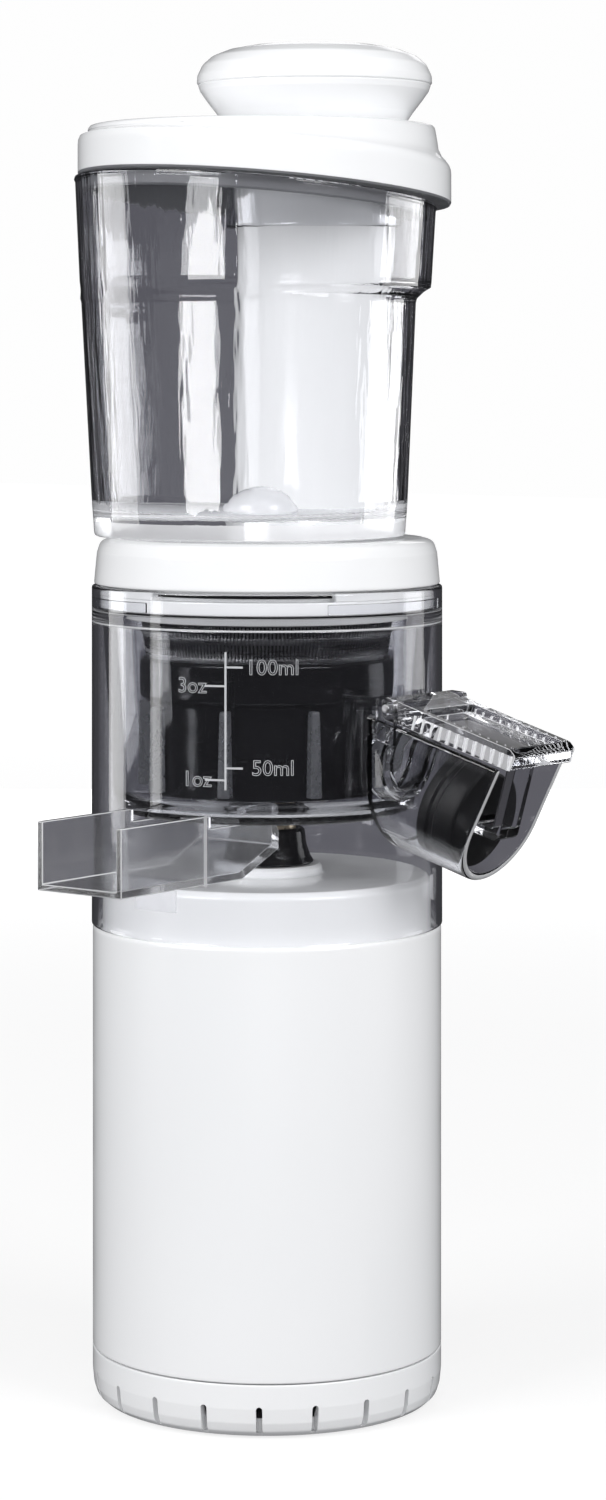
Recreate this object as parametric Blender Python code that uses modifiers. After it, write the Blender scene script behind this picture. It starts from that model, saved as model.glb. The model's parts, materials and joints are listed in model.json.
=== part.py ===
"""Vertical slow juicer: motor base, juice bowl, feed lid, hopper, pusher and spout cap.

Origin: centre of the underside of the base. +Z up, +X along the juice spout, -Y along the pulp chute.
"""
import math

import bmesh
import bpy
from mathutils import Vector

MM = 0.001
GAP = 0.3

# Round walls: segments on large and on small turned pieces.
SEG_LARGE = 32
SEG_MID = 24
SEG_SMALL = 16
SEG_PIN = 12

# Motor base, millimetres.
BODY_R = 48.0
BODY_INNER_R = 45.8
PAN_TOP = 14.6
BODY_TOP = 129.7
DECK_R = 45.2
DECK_TOP = 143.8
BOSS_R = 15.2
BOSS_TOP = 146.4
VENT_COUNT = 20
VENT_FIRST_DEG = -54.5
SCREW_CIRCLE_R = 24.0
FOOT_CIRCLE_R = 33.0

# Gears.
MOTOR_MODULE = 1.2
PLANET_ORBIT_R = 14.4
BOWL_MODULE = 1.25
IDLER_ORBIT_R = 15.0
TEETH = 12
RING_TEETH = 36

# Juice bowl.
BOWL_R = 48.3
BOWL_TOP = 223.0
SKIRT_BOTTOM = 130.0
SKIRT_INNER_R = 46.7
FLOOR_TOP = 163.6
FLOOR_BOTTOM = 161.0
DUCT_Z = 176.5

# Pulp chute.
CHUTE_HALF = 14.35
CHUTE_WALL = 1.8
CHUTE_LOW = 145.9
CHUTE_HIGH = 164.0
CHUTE_END = -79.3

# Juice spout: a channel that slopes down and out along +X.
SPOUT_SLOPE_DEG = 16.0
SPOUT_X0 = 50.0
SPOUT_Z0 = 169.6
SPOUT_HALF = 15.6
SPOUT_WALL = 2.0
SPOUT_RISE = 19.0
CAP_HINGE_X = 53.0
CAP_HINGE_Z = 192.7

# Hopper and pusher are set off the main axis along this direction.
OFFSET_DIR = (math.cos(math.radians(45.0)), math.sin(math.radians(45.0)))
FRONT_DIR = (math.cos(math.radians(38.0)), math.sin(math.radians(38.0)))
TILT_DIR = (math.cos(math.radians(71.0)), math.sin(math.radians(71.0)))
TILT = 0.096
RIM_Z = 331.0
PUSHER_OFFSET = 13.2
PUSHER_R = 21.9
HOPPER_FLOOR = 242.2

PARTS = None
CUTTERS = None


def clear_scene():
    for obj in list(bpy.data.objects):
        bpy.data.objects.remove(obj, do_unlink=True)


def make_collections():
    global PARTS
    global CUTTERS
    PARTS = bpy.data.collections.new("slow_juicer")
    CUTTERS = bpy.data.collections.new("cutters")
    bpy.context.scene.collection.children.link(PARTS)
    bpy.context.scene.collection.children.link(CUTTERS)


def paint(name, color, roughness, metallic=0.0, alpha=1.0):
    material = bpy.data.materials.new(name)
    material.use_nodes = True
    shader = material.node_tree.nodes["Principled BSDF"]
    shader.inputs["Base Color"].default_value = (color[0], color[1], color[2], 1.0)
    shader.inputs["Roughness"].default_value = roughness
    shader.inputs["Metallic"].default_value = metallic
    shader.inputs["Alpha"].default_value = alpha
    return material


def white(name):
    return paint(name, (0.85, 0.86, 0.87), 0.25)


def black(name):
    return paint(name, (0.02, 0.02, 0.022), 0.3)


def clear(name):
    return paint(name, (0.75, 0.77, 0.8), 0.08, 0.0, 0.35)


def steel(name):
    return paint(name, (0.55, 0.55, 0.56), 0.35, 1.0)


def add_object(name, mesh, material, collection=None):
    obj = bpy.data.objects.new(name, mesh)
    if material is not None:
        mesh.materials.append(material)
    if collection is None:
        PARTS.objects.link(obj)
    else:
        collection.objects.link(obj)
        obj.hide_render = True
        obj.display_type = "WIRE"
    return obj


def set_origin(obj, point):
    """Move the object's origin to a point, in millimetres, leaving its shape in place."""
    shift = Vector(point) * MM
    for vertex in obj.data.vertices:
        vertex.co = vertex.co - shift
    obj.location = obj.location + shift


def turned(name, profile, segments, material, spot=(0.0, 0.0, 0.0), along_y=False, collection=None):
    """Turn a profile of (radius, height) pairs, outer side listed from top to bottom."""
    mesh = bpy.data.meshes.new(name)
    points = []
    for radius, height in profile:
        points.append((radius * MM, 0.0, height * MM))
    edges = []
    for index in range(len(points) - 1):
        edges.append((index, index + 1))
    if profile[0][0] > 0.0 and profile[-1][0] > 0.0:
        edges.append((len(points) - 1, 0))
    mesh.from_pydata(points, edges, [])
    obj = add_object(name, mesh, material, collection)
    screw = obj.modifiers.new("turn", "SCREW")
    screw.steps = segments
    screw.render_steps = segments
    screw.use_merge_vertices = True
    screw.merge_threshold = 0.00001
    screw.use_smooth_shade = True
    obj.location = Vector(spot) * MM
    if along_y:
        obj.rotation_euler = (math.radians(-90.0), 0.0, 0.0)
    return obj


def loft(name, rings, material, closed=False, collection=None):
    """Skin equal-length rings of points in order; the ends are capped unless the loft is closed."""
    mesh = bpy.data.meshes.new(name)
    work = bmesh.new()
    rows = []
    for ring in rings:
        row = []
        for point in ring:
            row.append(work.verts.new(Vector(point) * MM))
        rows.append(row)
    count = len(rows[0])
    last = len(rows) if closed else len(rows) - 1
    for index in range(last):
        lower = rows[index]
        upper = rows[(index + 1) % len(rows)]
        for side in range(count):
            turn = (side + 1) % count
            work.faces.new((lower[side], lower[turn], upper[turn], upper[side]))
    if not closed:
        work.faces.new(rows[0])
        work.faces.new(rows[-1])
    bmesh.ops.recalc_face_normals(work, faces=work.faces)
    work.to_mesh(mesh)
    work.free()
    mesh.shade_smooth()
    mesh.set_sharp_from_angle(angle=math.radians(35.0))
    return add_object(name, mesh, material, collection)


def boxes(name, items, material, collection=None):
    """Axis-aligned boxes given as (low corner, high corner)."""
    mesh = bpy.data.meshes.new(name)
    work = bmesh.new()
    for low, high in items:
        made = bmesh.ops.create_cube(work, size=1.0)
        for vertex in made["verts"]:
            for axis in range(3):
                middle = (low[axis] + high[axis]) / 2.0
                spread = high[axis] - low[axis]
                vertex.co[axis] = (middle + vertex.co[axis] * spread) * MM
    work.to_mesh(mesh)
    work.free()
    return add_object(name, mesh, material, collection)


def boolean(target, tool, operation="DIFFERENCE"):
    change = target.modifiers.new(tool.name, "BOOLEAN")
    change.operation = operation
    change.solver = "EXACT"
    change.object = tool


def circle(cx, cy, radius, height, count=SEG_LARGE):
    """Ring of points; height is a number or a function of x and y."""
    points = []
    for index in range(count):
        angle = 2.0 * math.pi * index / count
        x = cx + radius * math.cos(angle)
        y = cy + radius * math.sin(angle)
        z = height(x, y) if callable(height) else height
        points.append((x, y, z))
    return points


def tilted(level, share=1.0):
    def height(x, y):
        return level - share * TILT * (x * TILT_DIR[0] + y * TILT_DIR[1])
    return height


def along(direction, distance):
    return (direction[0] * distance, direction[1] * distance)


def spout_point(u, y, w):
    """A point given along the spout, across it, and square to its slope."""
    slope = math.radians(SPOUT_SLOPE_DEG)
    x = SPOUT_X0 + u * math.cos(slope) + w * math.sin(slope)
    z = SPOUT_Z0 - u * math.sin(slope) + w * math.cos(slope)
    return (x, y, z)


def side_plate(name, outline, low, high, material, collection=None):
    """A flat shape given as (x, z) points and carried along Y."""
    rings = []
    for y in (low, high):
        rings.append([(x, y, z) for x, z in outline])
    return loft(name, rings, material, False, collection)


def cross_plate(name, outline, low, high, material, collection=None):
    """A flat shape given as (y, z) points and carried along X."""
    rings = []
    for x in (low, high):
        rings.append([(x, y, z) for y, z in outline])
    return loft(name, rings, material, False, collection)


def tooth_outline(count, pitch_r, module, phase_deg, inward=False):
    """Four points a tooth; an inward outline is that of a ring gear's bore."""
    tip = 0.8 * module
    root = 1.05 * module
    sign = -1.0 if inward else 1.0
    points = []
    for index in range(count):
        middle = math.radians(phase_deg + 360.0 * index / count)
        pitch = 2.0 * math.pi / count
        for share, rise in ((-0.31, -root), (-0.12, tip), (0.12, tip), (0.31, -root)):
            angle = middle + share * pitch
            radius = pitch_r + sign * rise
            points.append((radius * math.cos(angle), radius * math.sin(angle)))
    return points


def matching_circle(outline, radius):
    points = []
    for x, y in outline:
        angle = math.atan2(y, x)
        points.append((radius * math.cos(angle), radius * math.sin(angle)))
    return points


def ring_solid(name, outer, inner, low, high, material, spot=(0.0, 0.0)):
    """A ring between two outlines of equal length, from one height to another."""
    rings = [
        [(x, y, high) for x, y in outer],
        [(x, y, low) for x, y in outer],
        [(x, y, low) for x, y in inner],
        [(x, y, high) for x, y in inner],
    ]
    obj = loft(name, rings, material, True)
    obj.location = Vector((spot[0], spot[1], 0.0)) * MM
    return obj


# ---------------------------------------------------------------- motor base

def build_body_shell():
    profile = [(BODY_R, BODY_TOP), (BODY_R, PAN_TOP + GAP), (BODY_INNER_R, PAN_TOP + GAP),
               (BODY_INNER_R, BODY_TOP)]
    shell = turned("body_shell", profile, SEG_LARGE, white("body_shell"))
    button_hole = turned("button_hole", [(0.0, 54.0), (7.6, 54.0), (7.6, 40.0), (0.0, 40.0)],
                         SEG_MID, None, (0.0, 0.0, 100.0), True, CUTTERS)
    inlet_hole = boxes("inlet_hole", [((-8.4, 40.0, 21.6), (8.4, 54.0, 32.4))], None, CUTTERS)
    boolean(shell, button_hole)
    boolean(shell, inlet_hole)


def build_base_pan():
    profile = [(0.0, 4.4), (43.2, 4.4), (BODY_INNER_R, 8.5), (BODY_INNER_R, PAN_TOP),
               (BODY_R, PAN_TOP), (BODY_R, 8.0), (47.6, 4.4), (46.8, 2.0), (45.0, 0.5),
               (10.0, 0.5), (9.0, 0.0), (0.0, 0.0)]
    pan = turned("base_pan", profile, SEG_LARGE, white("base_pan"))
    for index in range(4):
        angle = math.radians(45.0 + 90.0 * index)
        spot = (FOOT_CIRCLE_R * math.cos(angle), FOOT_CIRCLE_R * math.sin(angle), 0.0)
        recess = turned("foot_recess_%d" % (index + 1),
                        [(0.0, 2.8), (5.4, 2.8), (5.4, -2.0), (0.0, -2.0)],
                        SEG_SMALL, None, spot, False, CUTTERS)
        boolean(pan, recess)
    for index in range(4):
        angle = math.radians(90.0 * index)
        spot = (SCREW_CIRCLE_R * math.cos(angle), SCREW_CIRCLE_R * math.sin(angle), 0.0)
        hole = turned("screw_hole_%d" % (index + 1),
                      [(0.0, 6.0), (1.7, 6.0), (1.7, 3.3), (3.0, 3.3), (3.0, -2.0), (0.0, -2.0)],
                      SEG_PIN, None, spot, False, CUTTERS)
        boolean(pan, hole)
    boolean(pan, build_vent_cutter())


def build_vent_cutter():
    mesh = bpy.data.meshes.new("vent_slots")
    work = bmesh.new()
    for index in range(VENT_COUNT):
        angle = math.radians(VENT_FIRST_DEG + 360.0 * index / VENT_COUNT)
        made = bmesh.ops.create_cube(work, size=1.0)
        for vertex in made["verts"]:
            radial = 48.0 + vertex.co.x * 8.8
            across = vertex.co.y * 1.8
            x = radial * math.cos(angle) - across * math.sin(angle)
            y = radial * math.sin(angle) + across * math.cos(angle)
            vertex.co = Vector((x, y, 5.2 + vertex.co.z * 6.8)) * MM
    work.to_mesh(mesh)
    work.free()
    return add_object("vent_slots", mesh, None, CUTTERS)


def build_feet():
    for index in range(4):
        angle = math.radians(45.0 + 90.0 * index)
        spot = (FOOT_CIRCLE_R * math.cos(angle), FOOT_CIRCLE_R * math.sin(angle), 0.0)
        turned("foot_%d" % (index + 1), [(0.0, 2.5), (5.0, 2.5), (5.0, 0.0), (0.0, 0.0)],
               SEG_SMALL, paint("foot_%d" % (index + 1), (0.05, 0.05, 0.05), 0.8), spot)


def build_base_screws():
    for index in range(4):
        angle = math.radians(90.0 * index)
        spot = (SCREW_CIRCLE_R * math.cos(angle), SCREW_CIRCLE_R * math.sin(angle), 0.0)
        profile = [(0.0, 11.0), (1.3, 11.0), (1.3, 3.0), (2.6, 3.0), (2.6, 1.3), (0.0, 1.3)]
        turned("base_screw_%d" % (index + 1), profile, SEG_PIN,
               steel("base_screw_%d" % (index + 1)), spot)


def build_motor_mount():
    profile = [(28.0, 18.2), (28.0, 4.8), (20.0, 4.8), (20.0, 18.2)]
    mount = turned("motor_mount", profile, SEG_MID, black("motor_mount"))
    for index in range(4):
        angle = math.radians(90.0 * index)
        spot = (SCREW_CIRCLE_R * math.cos(angle), SCREW_CIRCLE_R * math.sin(angle), 0.0)
        hole = turned("mount_hole_%d" % (index + 1),
                      [(0.0, 12.0), (1.7, 12.0), (1.7, 2.0), (0.0, 2.0)],
                      SEG_PIN, None, spot, False, CUTTERS)
        boolean(mount, hole)


def build_motor():
    turned("motor_end_cap", [(18.0, 21.4), (18.0, 20.4), (27.0, 20.4), (27.0, 18.6), (2.5, 18.6),
                             (2.5, 21.4)], SEG_MID, steel("motor_end_cap"))
    turned("motor_can", [(18.0, 66.0), (18.0, 21.8), (16.6, 21.8), (16.6, 64.0), (3.2, 64.0),
                         (3.2, 66.0)], SEG_MID, steel("motor_can"))
    turned("motor_rotor", [(0.0, 84.5), (2.0, 84.5), (2.0, 56.0), (15.4, 56.0), (15.4, 28.0),
                           (2.0, 28.0), (2.0, 5.8), (0.0, 5.8)], SEG_SMALL, steel("motor_rotor"))


def build_fan():
    outer = []
    blades = 9
    for index in range(blades):
        middle = 2.0 * math.pi * index / blades
        for share, radius in ((-0.30, 6.5), (-0.06, 17.0), (0.06, 17.0), (0.22, 6.5)):
            angle = middle + share * 2.0 * math.pi / blades
            outer.append((radius * math.cos(angle), radius * math.sin(angle)))
    ring_solid("cooling_fan", outer, matching_circle(outer, 2.4), 7.0, 15.0, black("cooling_fan"))


def build_gearbox():
    turned("gearbox_plate", [(45.2, 70.4), (45.2, 66.4), (3.2, 66.4), (3.2, 70.4)], SEG_MID,
           black("gearbox_plate"))
    pitch = MOTOR_MODULE * RING_TEETH / 2.0
    inner = tooth_outline(RING_TEETH, pitch, MOTOR_MODULE, 0.0, True)
    ring_solid("ring_gear", matching_circle(inner, 26.5), inner, 70.8, 92.0, black("ring_gear"))
    turned("gearbox_cover", [(8.0, 118.0), (8.0, 96.0), (26.5, 96.0), (26.5, 92.3), (4.9, 92.3),
                             (4.9, 118.0)], SEG_MID, black("gearbox_cover"))
    small = MOTOR_MODULE * TEETH / 2.0
    sun = tooth_outline(TEETH, small, MOTOR_MODULE, 0.0)
    ring_solid("sun_gear", sun, matching_circle(sun, 2.4), 73.0, 85.0, steel("sun_gear"))
    for index in range(3):
        direction = 120.0 * index
        angle = math.radians(direction)
        spot = (PLANET_ORBIT_R * math.cos(angle), PLANET_ORBIT_R * math.sin(angle))
        planet = tooth_outline(TEETH, small, MOTOR_MODULE, direction + 165.0)
        name = "planet_gear_%d" % (index + 1)
        ring_solid(name, planet, matching_circle(planet, 2.6), 74.0, 85.0,
                   paint(name, (0.85, 0.8, 0.68), 0.5), spot)


def build_carrier():
    carrier = turned("planet_carrier", [(0.0, 90.0), (19.5, 90.0), (19.5, 86.0), (0.0, 86.0)],
                     SEG_MID, steel("planet_carrier"))
    for index in range(3):
        angle = math.radians(120.0 * index)
        spot = (PLANET_ORBIT_R * math.cos(angle), PLANET_ORBIT_R * math.sin(angle), 0.0)
        pin = turned("carrier_pin_%d" % (index + 1),
                     [(0.0, 88.0), (2.2, 88.0), (2.2, 73.4), (0.0, 73.4)],
                     SEG_PIN, None, spot, False, CUTTERS)
        boolean(carrier, pin, "UNION")


def hexagon(radius, height):
    """Twelve points round a hexagon: its corners and the middles of its sides."""
    points = []
    for index in range(12):
        angle = math.radians(30.0 * index)
        reach = radius if index % 2 == 0 else radius * math.cos(math.radians(30.0))
        points.append((reach * math.cos(angle), reach * math.sin(angle), height))
    return points


def build_output_shaft():
    rings = [circle(0.0, 0.0, 4.2, 90.3, 12), circle(0.0, 0.0, 4.2, 150.0, 12),
             hexagon(3.7, 150.6), hexagon(3.7, 184.9), hexagon(3.2, 185.5)]
    loft("output_shaft", rings, steel("output_shaft"))


def build_deck():
    profile = [(14.6, BOSS_TOP), (BOSS_R, 145.9), (BOSS_R, DECK_TOP), (44.2, DECK_TOP),
               (DECK_R, 142.9), (DECK_R, 118.0), (42.9, 118.0), (42.9, 141.2), (6.0, 141.2),
               (6.0, BOSS_TOP)]
    turned("top_deck", profile, SEG_LARGE, white("top_deck"))
    turned("shaft_seal", [(10.3, 156.0), (12.7, 146.8), (8.4, 146.8), (8.4, 156.0)], SEG_MID,
           black("shaft_seal"))
    turned("shaft_bush", [(8.0, 157.4), (8.0, 147.2), (4.7, 147.2), (4.7, 157.4)], SEG_SMALL,
           paint("shaft_bush", (0.72, 0.64, 0.5), 0.4))


def build_electrics():
    boxes("control_board", [((-36.8, -15.0, 24.0), (-35.2, 15.0, 62.0))],
          paint("control_board", (0.03, 0.22, 0.08), 0.5))
    inlet = boxes("power_inlet", [((-8.0, 36.0, 22.0), (8.0, 46.9, 32.0))], black("power_inlet"))
    socket = boxes("inlet_socket", [((-6.0, 39.0, 24.0), (6.0, 52.0, 30.0))], None, CUTTERS)
    boolean(inlet, socket)
    turned("button_bezel", [(7.2, 49.0), (7.2, 43.4), (5.6, 43.4), (5.6, 49.0)], SEG_MID,
           steel("button_bezel"), (0.0, 0.0, 100.0), True)
    turned("power_button", [(0.0, 50.2), (4.6, 50.2), (5.2, 49.6), (5.2, 42.6), (0.0, 42.6)],
           SEG_MID, white("power_button"), (0.0, 0.0, 100.0), True)


# ---------------------------------------------------------------- juice bowl

def build_juice_bowl():
    profile = [(BOWL_R, BOWL_TOP), (BOWL_R, SKIRT_BOTTOM), (SKIRT_INNER_R, SKIRT_BOTTOM),
               (SKIRT_INNER_R, 209.0), (45.0, 209.0), (42.5, 166.0), (39.5, FLOOR_BOTTOM),
               (9.4, FLOOR_BOTTOM), (9.4, 158.2), (7.4, 158.2), (7.4, 166.0), (9.4, 166.0),
               (9.4, FLOOR_TOP), (38.5, FLOOR_TOP), (41.0, 167.0), (43.3, 212.0),
               (46.5, 212.0), (46.5, BOWL_TOP)]
    bowl = turned("juice_bowl", profile, SEG_LARGE, clear("juice_bowl"))
    chute_hole = boxes("chute_hole", [((-14.75, -60.0, 145.5), (14.75, -43.0, 164.4))], None,
                       CUTTERS)
    pulp_hole = boxes("pulp_hole", [((-8.0, -20.5, 155.0), (8.0, -15.4, 168.0))], None, CUTTERS)
    ring_low = [(36.0, y, z) for y, z in disc_points(9.9, DUCT_Z)]
    ring_high = [(56.0, y, z) for y, z in disc_points(9.9, DUCT_Z)]
    outlet = loft("outlet_hole", [ring_low, ring_high], None, False, CUTTERS)
    idler_pin = turned("idler_pin", [(0.0, 170.2), (1.6, 170.2), (1.6, 162.4), (0.0, 162.4)],
                       SEG_PIN, None, (0.0, IDLER_ORBIT_R, 0.0), False, CUTTERS)
    boolean(bowl, idler_pin, "UNION")
    boolean(bowl, chute_hole)
    boolean(bowl, pulp_hole)
    boolean(bowl, outlet)


def disc_points(radius, height, count=SEG_MID):
    points = []
    for index in range(count):
        angle = 2.0 * math.pi * index / count
        points.append((radius * math.cos(angle), height + radius * math.sin(angle)))
    return points


def build_outlet_duct():
    rings = []
    for x, radius in ((49.4, 9.5), (41.4, 9.5), (41.4, 8.0), (49.4, 8.0)):
        rings.append([(x, y, z) for y, z in disc_points(radius, DUCT_Z)])
    loft("outlet_duct", rings, clear("outlet_duct"), True)


def build_bowl_fittings():
    turned("bowl_seal", [(7.1, 165.4), (7.1, 158.9), (5.6, 158.9), (5.6, 165.4)], SEG_MID,
           black("bowl_seal"))
    base = turned("strainer_base", [(26.6, 172.4), (26.6, 170.5), (9.4, 170.5), (9.4, 172.4)],
                  SEG_MID, black("strainer_base"))
    slot = boxes("strainer_slot", [((-7.5, -20.5, 168.0), (7.5, -15.4, 175.0))], None, CUTTERS)
    boolean(base, slot)
    turned("strainer_screen", [(34.4, 213.6), (32.8, 203.5), (30.6, 192.0), (27.6, 172.7),
                               (26.8, 172.7), (29.8, 192.0), (32.0, 203.5), (33.6, 213.6)],
           SEG_LARGE, steel("strainer_screen"))


def build_chute():
    outline = [(CHUTE_END, CHUTE_LOW), (-29.0, CHUTE_LOW), (-13.2, 152.6), (-13.2, 157.5),
               (-15.0, 160.6), (-42.2, 160.6), (-42.2, CHUTE_HIGH), (CHUTE_END, CHUTE_HIGH)]
    chute = cross_plate("pulp_chute", outline, -CHUTE_HALF, CHUTE_HALF, clear("pulp_chute"))
    hollow = [(CHUTE_END - 8.0, CHUTE_LOW + CHUTE_WALL), (-29.2, CHUTE_LOW + CHUTE_WALL),
              (-15.0, 153.8), (-15.0, 172.0), (CHUTE_END - 8.0, 172.0)]
    half = CHUTE_HALF - CHUTE_WALL
    boolean(chute, cross_plate("chute_hollow", hollow, -half, half, None, CUTTERS))


def channel_ring(u_of_w, outer_half, inner_half):
    """Points round a channel section: down one outer side, round, up, and back inside."""
    section = [(-outer_half, SPOUT_RISE)]
    steps = 12
    for index in range(steps + 1):
        angle = math.radians(180.0 + 180.0 * index / steps)
        section.append((outer_half * math.cos(angle), outer_half * math.sin(angle)))
    section.append((outer_half, SPOUT_RISE))
    section.append((inner_half, SPOUT_RISE))
    for index in range(steps + 1):
        angle = math.radians(360.0 - 180.0 * index / steps)
        section.append((inner_half * math.cos(angle), inner_half * math.sin(angle)))
    section.append((-inner_half, SPOUT_RISE))
    return [spout_point(u_of_w(w), y, w) for y, w in section]


def build_spout():
    inner_half = SPOUT_HALF - SPOUT_WALL
    near = channel_ring(lambda w: -10.0, SPOUT_HALF, inner_half)
    mouth = channel_ring(lambda w: 30.2 + 0.196 * w, SPOUT_HALF, inner_half)
    spout = loft("juice_spout", [near, mouth], clear("juice_spout"))
    wall = turned("bowl_wall_clearance", [(0.0, 240.0), (BOWL_R + GAP, 240.0),
                                          (BOWL_R + GAP, 120.0), (0.0, 120.0)],
                  SEG_LARGE, None, (0.0, 0.0, 0.0), False, CUTTERS)
    boolean(spout, wall)
    return spout


def build_hinge(spout):
    outline = [(49.5, 184.5), (55.4, 182.8), (55.4, 194.4), (54.8, 195.0), (50.4, 195.4),
               (49.7, 194.8)]
    for number, low, high in ((1, -16.9, -14.9), (2, 14.9, 16.9)):
        ear = side_plate("hinge_ear_%d" % number, outline, low, high, None, CUTTERS)
        boolean(spout, ear, "UNION")
    boolean(spout, pin_cutter("ear_hole", -20.0, 20.0))
    pin = turned("hinge_pin", [(0.0, 17.3), (1.2, 17.3), (1.2, -17.3), (0.0, -17.3)], SEG_PIN,
                 steel("hinge_pin"), (CAP_HINGE_X, 0.0, CAP_HINGE_Z), True)
    return pin


def pin_cutter(name, low, high):
    rings = []
    for y in (low, high):
        ring = []
        for index in range(SEG_PIN):
            angle = 2.0 * math.pi * index / SEG_PIN
            ring.append((CAP_HINGE_X + 1.5 * math.cos(angle), y,
                         CAP_HINGE_Z + 1.5 * math.sin(angle)))
        rings.append(ring)
    return loft(name, rings, None, False, CUTTERS)


# ---------------------------------------------------------------- inside the bowl

def hexagon_24(radius, height):
    points = []
    for index in range(24):
        angle = 15.0 * index
        within = angle % 60.0
        reach = radius * math.cos(math.radians(30.0)) / math.cos(math.radians(within - 30.0))
        points.append((reach * math.cos(math.radians(angle)), reach * math.sin(math.radians(angle)),
                       height))
    return points


def build_auger():
    """Two flights wind up a core; the hexagonal socket is open at the bottom."""
    rings = [circle(0.0, 0.0, 4.6, 211.4, 24), circle(0.0, 0.0, 8.0, 210.6, 24)]
    levels = 20
    for index in range(levels + 1):
        share = index / levels
        height = 208.0 - 31.0 * share
        core = 9.0 + 7.0 * share
        flight = 30.2 - 5.0 * share
        rings.append(flight_ring(core, flight, height, -index % 24))
    rings.append(circle(0.0, 0.0, 14.0, 174.6, 24))
    rings.append(circle(0.0, 0.0, 5.1, 173.6, 24))
    rings.append(circle(0.0, 0.0, 5.1, 158.8, 24))
    rings.append(hexagon_24(4.15, 158.8))
    rings.append(hexagon_24(4.15, 188.0))
    loft("auger", rings, black("auger"))
    turned("auger_pin", [(0.0, 224.0), (2.4, 224.0), (3.0, 223.2), (3.0, 211.8), (0.0, 211.8)],
           SEG_SMALL, steel("auger_pin"))


def flight_ring(core, flight, height, turn):
    """A section with two lobes, turned by whole steps of 15 degrees."""
    points = []
    for index in range(24):
        local = 15.0 * ((index - turn) % 24)
        lobe = local % 180.0
        lobe = min(lobe, 180.0 - lobe)
        if lobe < 1.0:
            share = 1.0
        elif lobe < 16.0:
            share = 0.72
        else:
            share = 0.0
        radius = core + (flight - core) * share
        angle = math.radians(15.0 * index)
        points.append((radius * math.cos(angle), radius * math.sin(angle), height))
    return points


def build_bowl_gears():
    small = BOWL_MODULE * TEETH / 2.0
    drive = tooth_outline(TEETH, small, BOWL_MODULE, 0.0)
    ring_solid("auger_gear", drive, matching_circle(drive, 5.4), 166.4, 170.0,
               black("auger_gear"))
    idler = tooth_outline(TEETH, small, BOWL_MODULE, 255.0)
    ring_solid("idler_gear", idler, matching_circle(idler, 1.95), 166.4, 170.0,
               white("idler_gear"), (0.0, IDLER_ORBIT_R))
    pitch = BOWL_MODULE * RING_TEETH / 2.0
    inner = tooth_outline(RING_TEETH, pitch, BOWL_MODULE, 0.0, True)
    ring_solid("brush_ring_gear", matching_circle(inner, 29.6), inner, 166.4, 170.0,
               black("brush_ring_gear"))


def build_brush():
    profile = [(34.4, 203.5), (35.0, 202.9), (35.0, 193.0), (34.0, 192.0), (32.3, 192.0),
               (32.3, 165.8), (30.2, 165.8), (31.1, 192.0), (33.3, 203.5)]
    turned("brush_drum", profile, SEG_LARGE, black("brush_drum"))
    for index, middle in enumerate((-30.8, -70.8, 89.2, 129.2)):
        angle = math.radians(middle)
        rings = []
        for height, half, reach in ((167.6, 1.5, 36.4), (190.9, 1.1, 36.0)):
            ring = []
            for radial, across in ((32.7, -half), (reach, -half), (reach, half), (32.7, half)):
                x = radial * math.cos(angle) - across * math.sin(angle)
                y = radial * math.sin(angle) + across * math.cos(angle)
                ring.append((x, y, height))
            rings.append(ring)
        name = "wiper_%d" % (index + 1)
        loft(name, rings, clear(name))


# ---------------------------------------------------------------- feed lid and hopper

def build_feed_lid():
    profile = [(43.5, 236.0), (45.9, 235.1), (46.9, 232.6), (47.7, 223.4), (45.9, 223.4),
               (45.9, 216.9), (40.0, 216.9), (40.0, 214.0), (36.8, 214.0), (36.8, 219.4),
               (8.0, 219.4), (8.0, 215.6), (5.6, 215.6), (5.6, 226.0), (8.0, 226.0),
               (8.0, 222.4), (37.2, 222.4), (37.2, 236.0)]
    lid = turned("feed_lid", profile, SEG_LARGE, white("feed_lid"))
    x, y = along(OFFSET_DIR, 21.6)
    hole = turned("feed_hole", [(0.0, 230.0), (12.6, 230.0), (12.6, 212.0), (0.0, 212.0)],
                  SEG_MID, None, (x, y, 0.0), False, CUTTERS)
    boolean(lid, hole)
    turned("lid_bush", [(5.2, 225.6), (5.2, 216.0), (3.4, 216.0), (3.4, 225.6)], SEG_SMALL,
           steel("lid_bush"))


def build_hopper():
    px, py = along(OFFSET_DIR, PUSHER_OFFSET)
    bx, by = along(OFFSET_DIR, -4.8)
    cx, cy = along(OFFSET_DIR, -5.1)
    sx, sy = along(OFFSET_DIR, -3.15)
    tx, ty = along(OFFSET_DIR, -3.2)
    rings = [
        circle(px, py, 22.3, 236.5),
        circle(bx, by, 42.3, 236.5),
        circle(bx, by, 42.9, 237.4),
        circle(cx, cy, 46.2, 302.0),
        circle(sx, sy, 48.4, 305.5),
        circle(tx, ty, 50.0, tilted(RIM_Z)),
        circle(tx, ty, 47.8, tilted(RIM_Z)),
        circle(sx, sy, 46.2, 306.6),
        circle(cx, cy, 44.1, 303.2),
        circle(bx, by, 41.1, HOPPER_FLOOR),
        circle(px, py, 22.3, HOPPER_FLOOR),
    ]
    hopper = loft("hopper", rings, clear("hopper"), True)
    dome = [(0.0, 8.6), (4.2, 8.0), (7.6, 5.9), (9.6, 2.9), (10.2, 0.0), (10.2, -2.0), (0.0, -2.0)]
    scoop = turned("feed_scoop", dome, SEG_SMALL, None, (15.9, -23.1, HOPPER_FLOOR), False,
                   CUTTERS)
    boolean(hopper, scoop, "UNION")


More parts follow.
